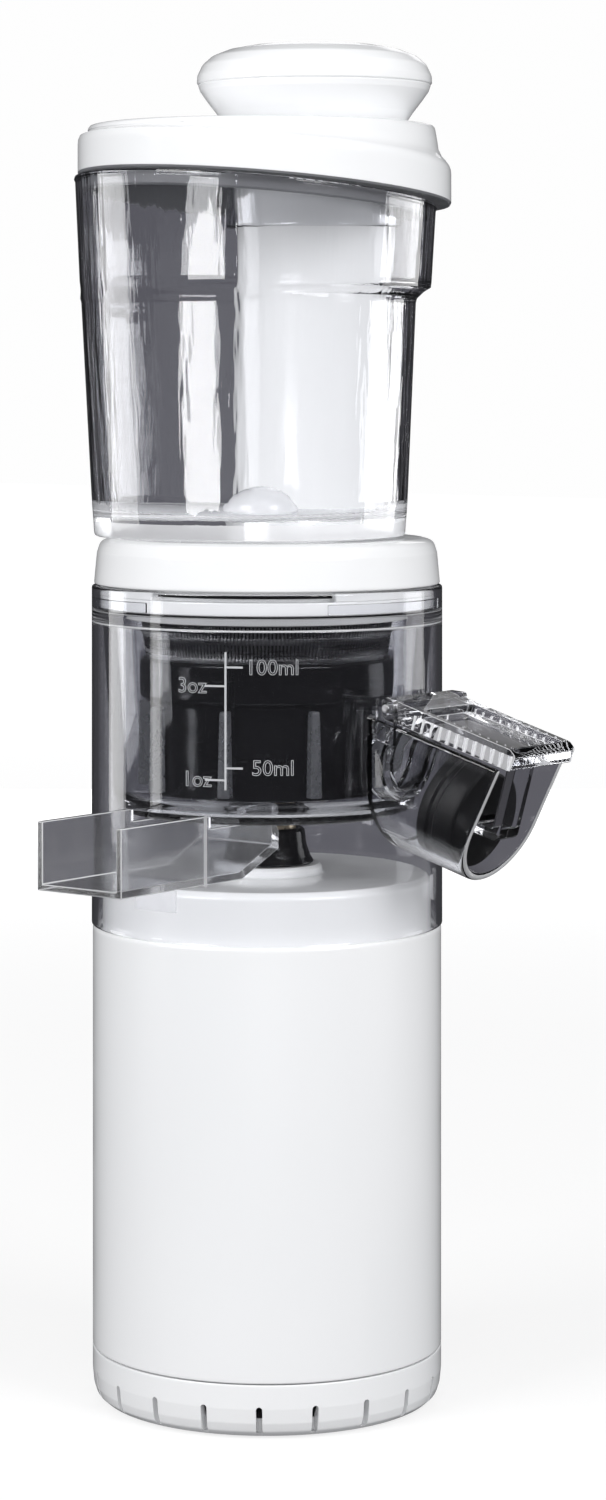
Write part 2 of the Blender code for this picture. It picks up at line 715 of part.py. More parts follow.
def build_hopper_lid():
    px, py = along(OFFSET_DIR, PUSHER_OFFSET)
    dx, dy = along(FRONT_DIR, -1.5)
    mx, my = along(FRONT_DIR, -1.1)
    kx, ky = along(FRONT_DIR, -0.7)
    tx, ty = along(OFFSET_DIR, -3.2)
    rings = [
        circle(px, py, 22.6, 349.4),
        circle(dx, dy, 46.9, 349.4),
        circle(dx, dy, 47.7, 348.7),
        circle(mx, my, 48.2, tilted(346.0, 0.4)),
        circle(kx, ky, 50.3, tilted(342.8, 0.9)),
        circle(kx, ky, 51.5, tilted(341.0)),
        circle(kx, ky, 51.5, tilted(RIM_Z + 0.4)),
        circle(tx, ty, 46.9, tilted(RIM_Z + 0.4)),
        circle(tx, ty, 46.9, tilted(RIM_Z - 3.8)),
        circle(tx, ty, 44.9, tilted(RIM_Z - 3.8)),
        circle(tx, ty, 44.9, 344.6),
        circle(px, py, 22.6, 346.6),
    ]
    loft("hopper_lid", rings, white("hopper_lid"), True)
    turned("guide_collar", [(24.4, 344.0), (24.4, 321.0), (22.5, 321.0), (22.5, 344.0)], SEG_LARGE,
           clear("guide_collar"), (px, py, 0.0))


def build_pusher():
    px, py = along(OFFSET_DIR, PUSHER_OFFSET)
    shaft = [(0.0, 241.6), (19.9, 241.6), (19.9, 349.3), (PUSHER_R, 349.3), (PUSHER_R, 239.4),
             (20.9, 238.6), (0.0, 238.6)]
    turned("pusher_shaft", shaft, SEG_LARGE, white("pusher_shaft"), (px, py, 0.0))
    profile = [(0.0, 372.0), (10.0, 371.9), (18.0, 371.3), (24.0, 370.2), (28.2, 368.5),
               (30.9, 366.2), (32.4, 363.4), (32.5, 361.0), (31.8, 359.2), (29.8, 356.4),
               (27.4, 353.2), (25.7, 350.8), (25.3, 349.8), (0.0, 349.8)]
    turned("pusher_knob", profile, SEG_LARGE, white("pusher_knob"), (px, py, 0.0))


# ---------------------------------------------------------------- spout cap

def build_cap():
    outline = [(50.2, 190.6), (50.2, 194.4), (51.4, 195.4), (90.6, 184.1), (92.3, 182.4),
               (90.3, 178.3), (51.2, 189.5)]
    cap = side_plate("spout_cap", outline, -14.5, 14.5, clear("spout_cap"))
    boolean(cap, pin_cutter("cap_hole", -16.0, 16.0))
    shape = [(29.5, 19.1), (32.2, 19.1), (32.2, -0.8), (30.5, -2.6), (23.8, -2.6), (23.8, 0.2),
             (29.5, 0.2)]
    rings = []
    for y in (-4.5, 4.5):
        rings.append([spout_point(u, y, w) for u, w in shape])
    bracket = loft("cap_bracket", rings, clear("cap_bracket"))
    ends = []
    for u in (11.5, 23.5):
        ends.append([spout_point(u, y, w) for y, w in disc_points(13.2, 0.0)])
    plug = loft("cap_plug", ends, black("cap_plug"))
    for obj in (bracket, plug, cap):
        set_origin(obj, (CAP_HINGE_X, 0.0, CAP_HINGE_Z))


def even_normals():
    """Turned parts are shaded smooth, and this keeps their flat faces looking flat."""
    for obj in PARTS.objects:
        if "turn" in obj.modifiers:
            obj.modifiers.new("normals", "WEIGHTED_NORMAL")


def main():
    clear_scene()
    make_collections()
    build_body_shell()
    build_base_pan()
    build_feet()
    build_base_screws()
    build_motor_mount()
    build_motor()
    build_fan()
    build_gearbox()
    build_carrier()
    build_output_shaft()
    build_deck()
    build_electrics()
    build_juice_bowl()
    build_outlet_duct()
    build_bowl_fittings()
    build_chute()
    spout = build_spout()
    build_hinge(spout)
    build_auger()
    build_bowl_gears()
    build_brush()
    build_feed_lid()
    build_hopper()
    build_hopper_lid()
    build_pusher()
    build_cap()
    even_normals()


main()
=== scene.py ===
import json
import math

import bmesh
import bpy
from mathutils import Matrix, Vector

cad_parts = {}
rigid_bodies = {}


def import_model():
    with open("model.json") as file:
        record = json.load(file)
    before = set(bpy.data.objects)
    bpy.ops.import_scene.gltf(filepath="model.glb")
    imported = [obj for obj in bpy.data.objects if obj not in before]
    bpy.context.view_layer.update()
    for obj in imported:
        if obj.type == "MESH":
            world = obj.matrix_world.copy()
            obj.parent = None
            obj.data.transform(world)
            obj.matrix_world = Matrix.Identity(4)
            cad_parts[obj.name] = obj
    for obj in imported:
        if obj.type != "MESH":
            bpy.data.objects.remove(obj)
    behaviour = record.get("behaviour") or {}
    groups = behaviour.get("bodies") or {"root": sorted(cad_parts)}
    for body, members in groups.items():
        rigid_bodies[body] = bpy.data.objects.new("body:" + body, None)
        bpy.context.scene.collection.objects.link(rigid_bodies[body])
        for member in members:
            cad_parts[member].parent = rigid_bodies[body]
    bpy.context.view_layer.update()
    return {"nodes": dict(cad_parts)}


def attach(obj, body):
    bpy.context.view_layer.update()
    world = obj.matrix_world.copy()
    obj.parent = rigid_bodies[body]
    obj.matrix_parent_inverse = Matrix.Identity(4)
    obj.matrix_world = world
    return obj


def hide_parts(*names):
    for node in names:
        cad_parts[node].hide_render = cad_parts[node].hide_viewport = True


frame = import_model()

MM = 0.001
FINE = 144  # faces round a large turned piece
SHARP = math.radians(32.0)
FRONT = -52.0  # the model angle that faces the camera
OFFSET = 45.0  # the direction in which the hopper and pusher are set off the axis
GUIDE = 13.2  # how far the pusher stands off the axis
TILT = 0.096  # fall of the hopper's rim per mm towards TILT_ANGLE
TILT_ANGLE = 71.0
RIM_Z = 331.0
BOWL_RADIUS = 48.3
SPOUT_X, SPOUT_Z = 50.0, 169.6
OUTLET_Z = 176.5
SPOUT_SLOPE = math.radians(16.0)
HINGE_X, HINGE_Z = 53.0, 192.7
BUTTON_Z, INLET_Z = 100.0, 27.0


# -------- materials

def new_material(name, color, roughness, metallic=0.0, **sockets):
    material = bpy.data.materials.new(name)
    material.use_nodes = True
    shader = material.node_tree.nodes["Principled BSDF"]
    shader.inputs["Base Color"].default_value = (*color, 1.0)
    shader.inputs["Roughness"].default_value = roughness
    shader.inputs["Metallic"].default_value = metallic
    for key, value in sockets.items():
        shader.inputs[key.replace("_", " ")].default_value = value
    return material


def node(material, kind, **values):
    made = material.node_tree.nodes.new(kind)
    for key, value in values.items():
        setattr(made, key, value)
    return made


def link(material, source, target):
    material.node_tree.links.new(source, target)


def noise(material, scale, detail=3.0, stretch=(1.0, 1.0, 1.0)):
    """Noise fixed to the object, stretched by direction; returns its output socket."""
    coords = node(material, "ShaderNodeTexCoord")
    mapping = node(material, "ShaderNodeMapping")
    mapping.inputs["Scale"].default_value = stretch
    texture = node(material, "ShaderNodeTexNoise")
    texture.inputs["Scale"].default_value = scale
    texture.inputs["Detail"].default_value = detail
    link(material, coords.outputs["Object"], mapping.inputs["Vector"])
    link(material, mapping.outputs["Vector"], texture.inputs["Vector"])
    return texture.outputs["Fac"]


def vary(material, source, socket, low, high):
    """Drives a shader socket between two values from a 0 to 1 pattern."""
    spread = node(material, "ShaderNodeMapRange")
    spread.inputs["From Min"].default_value = 0.3
    spread.inputs["From Max"].default_value = 0.7
    spread.inputs["To Min"].default_value = low
    spread.inputs["To Max"].default_value = high
    shader = material.node_tree.nodes["Principled BSDF"]
    link(material, source, spread.inputs["Value"])
    link(material, spread.outputs["Result"], shader.inputs[socket])


def tint(material, source, first, second):
    """Colour that wanders a little between two tones."""
    ramp = node(material, "ShaderNodeValToRGB")
    ramp.color_ramp.elements[0].position = 0.35
    ramp.color_ramp.elements[1].position = 0.65
    ramp.color_ramp.elements[0].color = (*first, 1.0)
    ramp.color_ramp.elements[1].color = (*second, 1.0)
    shader = material.node_tree.nodes["Principled BSDF"]
    link(material, source, ramp.inputs["Fac"])
    link(material, ramp.outputs["Color"], shader.inputs["Base Color"])


def bump(material, source, strength, distance):
    made = node(material, "ShaderNodeBump")
    made.inputs["Strength"].default_value = strength
    made.inputs["Distance"].default_value = distance
    shader = material.node_tree.nodes["Principled BSDF"]
    link(material, source, made.inputs["Height"])
    link(material, made.outputs["Normal"], shader.inputs["Normal"])


def texture(material, mottle, low, high, grain, strength, distance, stretch=(1.0, 1.0, 1.0)):
    """Roughness in patches between low and high, and a fine bump."""
    vary(material, noise(material, *mottle), "Roughness", low, high)
    bump(material, noise(material, *grain, stretch), strength, distance)
    return material


def make_white():
    """Glossy white moulded plastic with faint moulding ripple and a trace of handling."""
    made = new_material("white_gloss_plastic", (0.86, 0.87, 0.88), 0.2, Coat_Weight=0.25,
                        Coat_Roughness=0.06, IOR=1.49)
    tint(made, noise(made, 9.0, 2.0), (0.845, 0.853, 0.865), (0.875, 0.88, 0.89))
    return texture(made, (60.0, 4.0), 0.15, 0.24, (900.0, 2.0), 0.05, 0.0002)


def make_glassy(name, color, roughness, transmission, ior=1.49):
    return new_material(name, color, roughness, Transmission_Weight=transmission, IOR=ior)


def make_clear():
    """Clear moulded plastic with slight flow waviness."""
    made = make_glassy("clear_plastic", (0.93, 0.935, 0.955), 0.02, 1.0)
    return texture(made, (90.0, 4.0), 0.008, 0.03, (45.0, 2.0), 0.1, 0.0006, (1.0, 1.0, 0.12))


def make_hopper_clear():
    """Clear plastic with the upright flow waves of a deep drawn-out moulding."""
    made = make_glassy("clear_hopper_plastic", (0.93, 0.935, 0.955), 0.02, 1.0)
    return texture(made, (90.0, 4.0), 0.008, 0.03, (130.0, 3.0), 0.5, 0.0008, (1.0, 1.0, 0.13))


def make_cloudy():
    """Slightly cloudy clear plastic."""
    made = make_glassy("cloudy_plastic", (0.86, 0.865, 0.885), 0.08, 0.975)
    return texture(made, (150.0, 4.0), 0.05, 0.12, (60.0, 2.0), 0.1, 0.0005)


def make_edge_highlight():
    """Painted highlight for the rims of clear plastic: a bright, slightly milky half-clear material
    that stands in for the light the rims gather.
    """
    made = make_glassy("bright_edge_plastic", (0.86, 0.865, 0.885), 0.12, 0.45)
    return texture(made, (200.0, 3.0), 0.08, 0.2, (220.0, 2.0), 0.12, 0.0004)


def make_marks():
    """Raised marks drawn in an opaque light grey: a painted highlight for the light the clear
    plastic catches on their edges.
    """
    made = new_material("raised_marks_painted_highlight", (0.5, 0.51, 0.53), 0.3, IOR=1.49)
    return texture(made, (700.0, 3.0), 0.2, 0.45, (2500.0, 2.0), 0.15, 0.0001)


def make_wiper():
    made = make_glassy("clear_silicone", (0.2, 0.205, 0.22), 0.25, 0.6, 1.42)
    return texture(made, (300.0, 3.0), 0.18, 0.4, (500.0, 2.0), 0.1, 0.0002)


def make_black(name, low, high, grain=1200.0, strength=0.08, shine=0.5):
    made = new_material(name, (0.004, 0.004, 0.005), 0.2, IOR=1.49, Specular_IOR_Level=shine)
    tint(made, noise(made, 20.0, 3.0), (0.0025, 0.0025, 0.003), (0.006, 0.006, 0.0066))
    return texture(made, (120.0, 4.0), low, high, (grain, 2.0), strength, 0.0002)


def make_steel(name, first, second, stretch):
    """Brushed metal: noise drawn out along the brushing."""
    made = new_material(name, first, 0.3, 1.0)
    grain = noise(made, 260.0, 5.0, stretch)
    tint(made, grain, first, second)
    vary(made, grain, "Roughness", 0.22, 0.38)
    bump(made, grain, 0.12, 0.0001)
    return made


def make_plain(name, first, second, low, high, metallic=0.0):
    made = new_material(name, first, 0.4, metallic)
    tint(made, noise(made, 80.0, 4.0), first, second)
    return texture(made, (200.0, 4.0), low, high, (900.0, 2.0), 0.1, 0.0002)


WHITE = make_white()
CLEAR = make_clear()
EDGE_HIGHLIGHT = make_edge_highlight()
MARKS_HIGHLIGHT = make_marks()
HOPPER_CLEAR = make_hopper_clear()
CLOUDY = make_cloudy()
WIPER = make_wiper()
BLACK = make_black("black_gloss_plastic", 0.10, 0.2)
SATIN_BLACK = make_black("black_satin_plastic", 0.32, 0.48, 700.0, 0.15)
SILICONE = make_black("black_silicone", 0.38, 0.55, 500.0, 0.12, 0.22)
RUBBER = make_black("black_rubber", 0.6, 0.8, 900.0, 0.3)
STEEL = make_steel("brushed_steel", (0.52, 0.52, 0.54), (0.66, 0.66, 0.68), (1.0, 1.0, 0.05))
# The strainer's steel is much darker than the plain steel: painted shade for the dark surroundings
# the mesh reflects inside the bowl.
SCREEN_SHADED = make_steel("strainer_steel", (0.16, 0.16, 0.165), (0.24, 0.24, 0.245), (0.2, 0.2, 3.0))
BUSH = make_plain("bush_metal", (0.62, 0.52, 0.37), (0.74, 0.65, 0.5), 0.25, 0.4, 1.0)
GEAR = make_plain("gear_plastic", (0.78, 0.74, 0.64), (0.85, 0.81, 0.72), 0.4, 0.55)
# Dark grey for the inside of the white hopper lid: painted shade, where little light reaches under
# the lid.
LID_PAINTED_SHADE = make_plain("shaded_white_plastic", (0.15, 0.153, 0.165), (0.18, 0.183, 0.195), 0.3,
                       0.45)
BOARD = make_plain("circuit_board", (0.02, 0.16, 0.06), (0.03, 0.24, 0.09), 0.3, 0.5)


# -------- shapes

def polar(angle, distance):
    a = math.radians(angle)
    return (distance * math.cos(a), distance * math.sin(a))


def swung(along, across, angle, height):
    """A point so far along and across a direction, given in radians, in the plan."""
    return (along * math.cos(angle) - across * math.sin(angle),
            along * math.sin(angle) + across * math.cos(angle), height)


def finish_mesh(name, work, material, body, nodes=()):
    """Makes a smooth piece of a bmesh. The slot follows from the material."""
    bmesh.ops.recalc_face_normals(work, faces=work.faces)
    mesh = bpy.data.meshes.new(name)
    work.to_mesh(mesh)
    work.free()
    mesh.materials.append(material)
    mesh.shade_smooth()
    mesh.set_sharp_from_angle(angle=SHARP)
    piece = bpy.data.objects.new(name, mesh)
    bpy.context.scene.collection.objects.link(piece)
    if body is not None:
        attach(piece, body)
    if nodes:
        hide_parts(*nodes)
    return piece


def corner_arc(before, point, after, radius, steps):
    """Points that round one corner of an outline."""
    a = Vector(before) - Vector(point)
    b = Vector(after) - Vector(point)
    if a.length < 1e-6 or b.length < 1e-6 or radius <= 0.0:
        return [tuple(point)]
    angle = a.angle(b)
    if angle > math.radians(176.0):
        return [tuple(point)]
    reach = min(radius / math.tan(angle / 2.0), a.length * 0.48, b.length * 0.48)
    start = Vector(point) + a.normalized() * reach
    stop = Vector(point) + b.normalized() * reach
    points = []
    for index in range(steps + 1):
        t = index / steps
        q = (1 - t) ** 2 * start + 2 * t * (1 - t) * Vector(point) + t ** 2 * stop
        points.append(tuple(q))
    return points


def rounded(outline, radius, closed=True, steps=4):
    """Rounds the corners of a 2D outline. A third number on a point is its own radius."""
    points = []
    count = len(outline)
    for index, item in enumerate(outline):
        here = Vector(item[:2])
        own = item[2] if len(item) > 2 else radius
        if not closed and index in (0, count - 1):
            points.append(tuple(here))
            continue
        before = Vector(outline[index - 1][:2])
        after = Vector(outline[(index + 1) % count][:2])
        points.extend(corner_arc(before, here, after, own, steps))
    return points


def supported(rings, closed):
    """Adds rings close to both ends of long spans, so that the shading of a fillet stays in it."""
    long_span, inset = 5.0, 0.6
    made = []
    for index, ring in enumerate(rings):
        made.append(ring)
        if index == len(rings) - 1 and not closed:
            break
        after = rings[(index + 1) % len(rings)]
        reach = max((Vector(a) - Vector(b)).length for a, b in zip(ring, after))
        if reach < long_span:
            continue
        for share in (inset / reach, 1.0 - inset / reach):
            made.append([tuple(Vector(a).lerp(Vector(b), share)) for a, b in zip(ring, after)])
    return made


def skin(rings, closed=False, poles=(None, None)):
    """Faces between rings of equal length; poles are points that close the first or last ring."""
    work = bmesh.new()
    if len(rings) > 3:
        rings = supported(rings, closed)
    rows = []
    for ring in rings:
        rows.append([work.verts.new(Vector(point) * MM) for point in ring])
    count = len(rows[0])
    last = len(rows) if closed else len(rows) - 1
    for index in range(last):
        near = rows[index]
        far = rows[(index + 1) % len(rows)]
        for side in range(count):
            turn = (side + 1) % count
            work.faces.new((near[side], near[turn], far[turn], far[side]))
    for pole, row in ((poles[0], rows[0]), (poles[1], rows[-1])):
        if pole == "cap":
            work.faces.new(row)
        elif pole is not None:
            tip = work.verts.new(Vector(pole) * MM)
            for side in range(count):
                work.faces.new((row[side], row[(side + 1) % count], tip))
    return work


def solid(rings):
    """A skin with flat ends."""
    return skin(rings, False, ("cap", "cap"))


def prism(outline, ends):
    """A flat outline of (x, z) drawn out between two values of y."""
    return solid([[(x, y, z) for x, z in outline] for y in ends])


def circle(cx, cy, radius, height, count=FINE):
    """The height is a number, or a function of x and y."""
    points = []
    for index in range(count):
        angle = 2.0 * math.pi * index / count
        x = cx + radius * math.cos(angle)
        y = cy + radius * math.sin(angle)
        z = height(x, y) if callable(height) else height
        points.append((x, y, z))
    return points


def stack(groups):
    """Rings from (centre, ((radius, height), ...)) groups, in their order."""
    return [circle(*centre, radius, height) for centre, sizes in groups
            for radius, height in sizes]


def rod(x, y, radius, low, high, count):
    """An upright round bar."""
    return solid([circle(x, y, radius, low, count), circle(x, y, radius, high, count)])


def lathe(name, outline, material, body, nodes=(), radius=0.5, centre=(0.0, 0.0), along_y=None,
          steps=FINE):
    """Turns an outline of (radius, height) with rounded corners. Ends on the axis become poles.
    With along_y the axis lies along Y, at that height."""
    closed = outline[0][0] > 0.0 and outline[-1][0] > 0.0
    points = rounded(outline, radius, closed)
    poles = [None, None]
    if not closed:
        poles = [(*centre, points[0][1]), (*centre, points[-1][1])]
        points = points[1:-1]
    rings = [circle(*centre, r, z, steps) for r, z in points]
    work = skin(rings, closed, poles)
    if along_y is not None:
        turn = Matrix.Translation((0.0, 0.0, along_y * MM)) @ Matrix.Rotation(
            math.radians(-90.0), 4, "X")
        work.transform(turn)
    return finish_mesh(name, work, material, body, nodes)


def box(low, high):
    """An upright box between two corners."""
    work = bmesh.new()
    for vertex in bmesh.ops.create_cube(work, size=1.0)["verts"]:
        for axis in range(3):
            middle = (low[axis] + high[axis]) / 2.0
            vertex.co[axis] = (middle + vertex.co[axis] * (high[axis] - low[axis])) * MM
    return work


def carve(piece, *shapes, operation="DIFFERENCE"):
    """Cuts the shapes out of the piece, or joins them to it, and leaves it as a plain mesh."""
    tools = []
    for shape in shapes:
        bmesh.ops.recalc_face_normals(shape, faces=shape.faces)
        mesh = bpy.data.meshes.new("cutter")
        shape.to_mesh(mesh)
        shape.free()
        tool = bpy.data.objects.new("cutter", mesh)
        bpy.context.scene.collection.objects.link(tool)
        change = piece.modifiers.new("carve", "BOOLEAN")
        change.operation = operation
        change.solver = "EXACT"
        change.object = tool
        tools.append(tool)
    graph = bpy.context.evaluated_depsgraph_get()
    mesh = bpy.data.meshes.new_from_object(piece.evaluated_get(graph))
    piece.modifiers.clear()
    piece.data = mesh
    mesh.shade_smooth()
    mesh.set_sharp_from_angle(angle=SHARP)
    for tool in tools:
        bpy.data.objects.remove(tool, do_unlink=True)


def paint_light_and_shade(piece, material, chosen):
    """Gives a second material, a painted highlight or painted shade, to the faces that
    chosen(centre in mm, normal) picks.
    """
    mesh = piece.data
    mesh.materials.append(material)
    place = len(mesh.materials) - 1
    for polygon in mesh.polygons:
        if chosen(polygon.center / MM, polygon.normal):
            polygon.material_index = place


def soften(piece, width, segments=3, edge=None):
    """Rounds the hard edges of a plain mesh; edge is the material of the rounding."""
    change = piece.modifiers.new("soften", "BEVEL")
    change.width = width * MM
    change.segments = segments
    change.limit_method = "ANGLE"
    change.angle_limit = math.radians(40.0)
    if edge is not None:
        piece.data.materials.append(edge)
        change.material = len(piece.data.materials) - 1


def see_through(piece):
    """Light reaches what is behind clear plastic."""
    piece.visible_shadow = False
    piece.visible_diffuse = False
    return piece


def tilted(level, share=1.0):
    """Height over the plan of a plane that falls like the hopper's rim, or a share of that."""
    tx, ty = polar(TILT_ANGLE, 1.0)

    def height(x, y):
        return level - share * TILT * (x * tx + y * ty)
    return height


# -------- motor base

def build_body():
    outline = [(48.0, 129.7, 0.9), (48.0, 14.9, 0.5), (45.8, 14.9), (45.8, 129.7)]
    shell = lathe("shell", outline, WHITE, "base", ("body_shell",), 0.4)
    hole = solid([[(x, y, BUTTON_Z + z) for x, z, _ in circle(0.0, 0.0, 7.6, 0.0, 48)]
                  for y in (36.0, 60.0)])
    carve(shell, hole, box((-8.4, 40.0, 21.6), (8.4, 56.0, 32.4)))


def build_pan():
    outline = [(0.0, 4.4), (43.2, 4.4, 1.0), (45.8, 8.5), (45.8, 14.6), (48.0, 14.6, 0.35),
               (48.0, 8.2, 3.0), (47.6, 4.4, 2.5), (46.8, 2.0, 1.8), (45.0, 0.5, 1.2),
               (10.0, 0.5, 0.3), (9.0, 0.0, 0.3), (0.0, 0.0)]
    pan = lathe("pan", outline, WHITE, "base", ("base_pan",), 0.4)
    shape = [(-0.85, 1.4), (0.85, 1.4)]
    for step in range(9):
        angle = math.radians(180.0 * step / 8)
        shape.append((0.85 * math.cos(angle), 8.0 + 0.85 * math.sin(angle)))
    tools = []
    for index in range(20):
        turn = math.radians(-54.5 + 18.0 * index)
        tools.append(solid([[swung(reach, a, turn, z) for a, z in shape]
                            for reach in (43.4, 52.0)]))
    for index in range(4):
        tools.append(rod(*polar(45.0 + 90.0 * index, 33.0), 5.35, -2.0, 2.8, 40))
        x, y = polar(90.0 * index, 24.0)
        tools.append(solid([circle(x, y, radius, height, 32) for radius, height in
                            ((3.0, -2.0), (3.0, 3.3), (1.7, 3.3), (1.7, 6.0))]))
    carve(pan, *tools)


def build_small_base_parts():
    for index in range(4):
        lathe("foot_pad_%d" % (index + 1), [(0.0, 2.5), (5.0, 2.5), (5.0, 0.0, 0.8),
                                            (3.6, 0.0, 0.2), (3.2, 0.35, 0.2), (0.0, 0.35)],
              RUBBER, "base", ("foot_%d" % (index + 1),), 0.3, polar(45.0 + 90.0 * index, 33.0),
              steps=48)
        x, y = polar(90.0 * index, 24.0)
        screw = lathe("pan_screw_%d" % (index + 1), [(0.0, 11.0), (1.3, 11.0), (1.3, 3.0),
                                                     (2.6, 3.0), (2.6, 1.3, 0.5), (0.0, 1.3)],
                      STEEL, "base", ("base_screw_%d" % (index + 1),), 0.15, (x, y), steps=40)
        carve(screw, box((x - 1.5, y - 0.3, 0.5), (x + 1.5, y + 0.3, 2.1)),
              box((x - 0.3, y - 1.5, 0.5), (x + 0.3, y + 1.5, 2.1)))
    lathe("bezel_ring", [(7.2, 49.0, 0.5), (7.2, 43.4), (5.6, 43.4), (5.6, 49.0, 0.5)], STEEL,
          "base", ("button_bezel",), 0.2, along_y=BUTTON_Z, steps=72)
    lathe("button_top", [(0.0, 49.8), (3.6, 49.9, 2.0), (5.2, 50.2, 0.9), (5.2, 42.6), (0.0, 42.6)],
          WHITE, "button", ("power_button",), 0.4, along_y=BUTTON_Z, steps=72)
    inlet = finish_mesh("inlet", box((-8.0, 36.0, 22.0), (8.0, 46.9, 32.0)), SATIN_BLACK, "base",
                        ("power_inlet",))
    recess = rounded([(-6.0, 24.0), (6.0, 24.0), (6.0, 30.0), (-6.0, 30.0)], 2.4, True, 6)
    carve(inlet, prism(recess, (39.0, 52.0)))
    soften(inlet, 0.35, 2)
    for index, x in enumerate((-2.6, 2.6)):
        lathe("inlet_pin_%d" % (index + 1), [(0.0, 44.6), (1.0, 44.6, 0.4), (1.0, 38.4),
                                             (0.0, 38.4)], STEEL, "base", (), 0.2, (x, 0.0),
              INLET_Z, 24)


def build_deck():
    outline = [(14.4, 146.4, 0.5), (15.2, 145.6, 0.5), (15.4, 143.8, 0.8), (43.6, 143.8, 1.4),
               (45.2, 142.4, 1.4), (45.2, 118.0), (42.9, 118.0), (42.9, 141.2), (6.0, 141.2),
               (6.0, 146.4)]
    lathe("deck", outline, WHITE, "base", ("top_deck",), 0.4)
    lathe("seal_cone", [(9.6, 156.3, 0.5), (10.4, 155.6, 0.6), (10.9, 151.6, 3.0),
                        (12.0, 148.4, 2.0), (12.8, 147.1, 0.4), (12.8, 146.8, 0.1), (8.4, 146.8),
                        (8.4, 156.3)], BLACK, "base", ("shaft_seal",), 0.25, steps=96)
    lathe("bush_ring", [(8.0, 157.4, 0.5), (8.0, 147.2), (4.7, 147.2), (4.7, 157.4, 0.4)], BUSH,
          "base", ("shaft_bush",), 0.2, steps=72)


# -------- juice bowl

def build_bowl():
    outline = [(BOWL_RADIUS, 223.0, 0.7), (BOWL_RADIUS, 130.0, 0.5), (46.7, 130.0, 0.4),
               (46.7, 213.4, 1.0), (45.2, 213.4, 0.8), (42.5, 166.0, 5.0), (39.5, 161.0, 2.5),
               (9.4, 161.0, 1.0), (9.4, 158.2, 0.3), (7.4, 158.2), (7.4, 166.0),
               (9.4, 166.0, 0.3), (9.4, 163.6, 1.0), (38.0, 163.6, 3.0), (41.0, 167.0, 4.0),
               (43.5, 216.3, 0.4), (46.5, 216.3, 0.3), (46.5, 223.0, 0.4)]
    bowl = lathe("bowl", outline, CLEAR, "bowl", ("juice_bowl",), 0.4)
    outlet = solid([[(x, y, OUTLET_Z + z) for y, z, _ in circle(0.0, 0.0, 9.9, 0.0, 64)]
                    for x in (36.0, 56.0)])
    carve(bowl, rod(0.0, 15.0, 1.6, 162.4, 170.2, 32), operation="UNION")
    carve(bowl, box((-14.75, -60.0, 145.5), (14.75, -43.0, 164.4)),
          box((-8.0, -20.5, 155.0), (8.0, -15.4, 168.0)), outlet)

    # The chute hole's sides and the top of the cup ring get the edge material: painted highlight,
    # the bright lines the thick plastic shows there.
    def bright(centre, normal):
        chute_hole = (abs(centre.x) < 15.0 and -49.0 < centre.y < -43.0
                      and 145.0 < centre.z < 165.0 and abs(normal.y) < 0.5)
        cup_top = 213.0 < centre.z < 216.6 and abs(normal.z) > 0.5
        return chute_hole or cup_top
    paint_light_and_shade(bowl, EDGE_HIGHLIGHT, bright)
    see_through(bowl)
    duct = skin([[(x, r * y, OUTLET_Z + r * z) for y, z, _ in circle(0.0, 0.0, 1.0, 0.0, 64)]
                 for x, r in ((49.2, 9.5), (41.5, 9.5), (41.2, 9.2), (41.2, 8.3), (41.5, 8.0),
                              (49.2, 8.0))], True)
    see_through(finish_mesh("duct", duct, CLEAR, "bowl", ("outlet_duct",)))


def build_skirt_lugs():
    """Three low lugs on the inside of the bowl's skirt."""
    for index, middle in enumerate((-91.7, 28.3, 148.3)):
        spread = [17.2 * step / 8 for step in range(9)]
        rings = []
        for radius, high, low in ((45.9, 144.7, 138.3), (46.55, 145.0, 138.0)):
            rings.append([(*polar(middle - 8.6 + turn, radius), high) for turn in spread]
                         + [(*polar(middle + 8.6 - turn, radius), low) for turn in spread])
        # The lugs are drawn wholly in the edge material: painted highlight.
        see_through(finish_mesh("skirt_lug_%d" % (index + 1), solid(rings), EDGE_HIGHLIGHT, "bowl"))


def wrap(points, centre, middle_z):
    """Places flat mark points, (along, up, out), round the bowl's wall."""
    placed = []
    for x, y, out in points:
        angle = math.radians(centre) + x / BOWL_RADIUS
        placed.append(swung(BOWL_RADIUS + out, 0.0, angle, middle_z + y))
    return placed


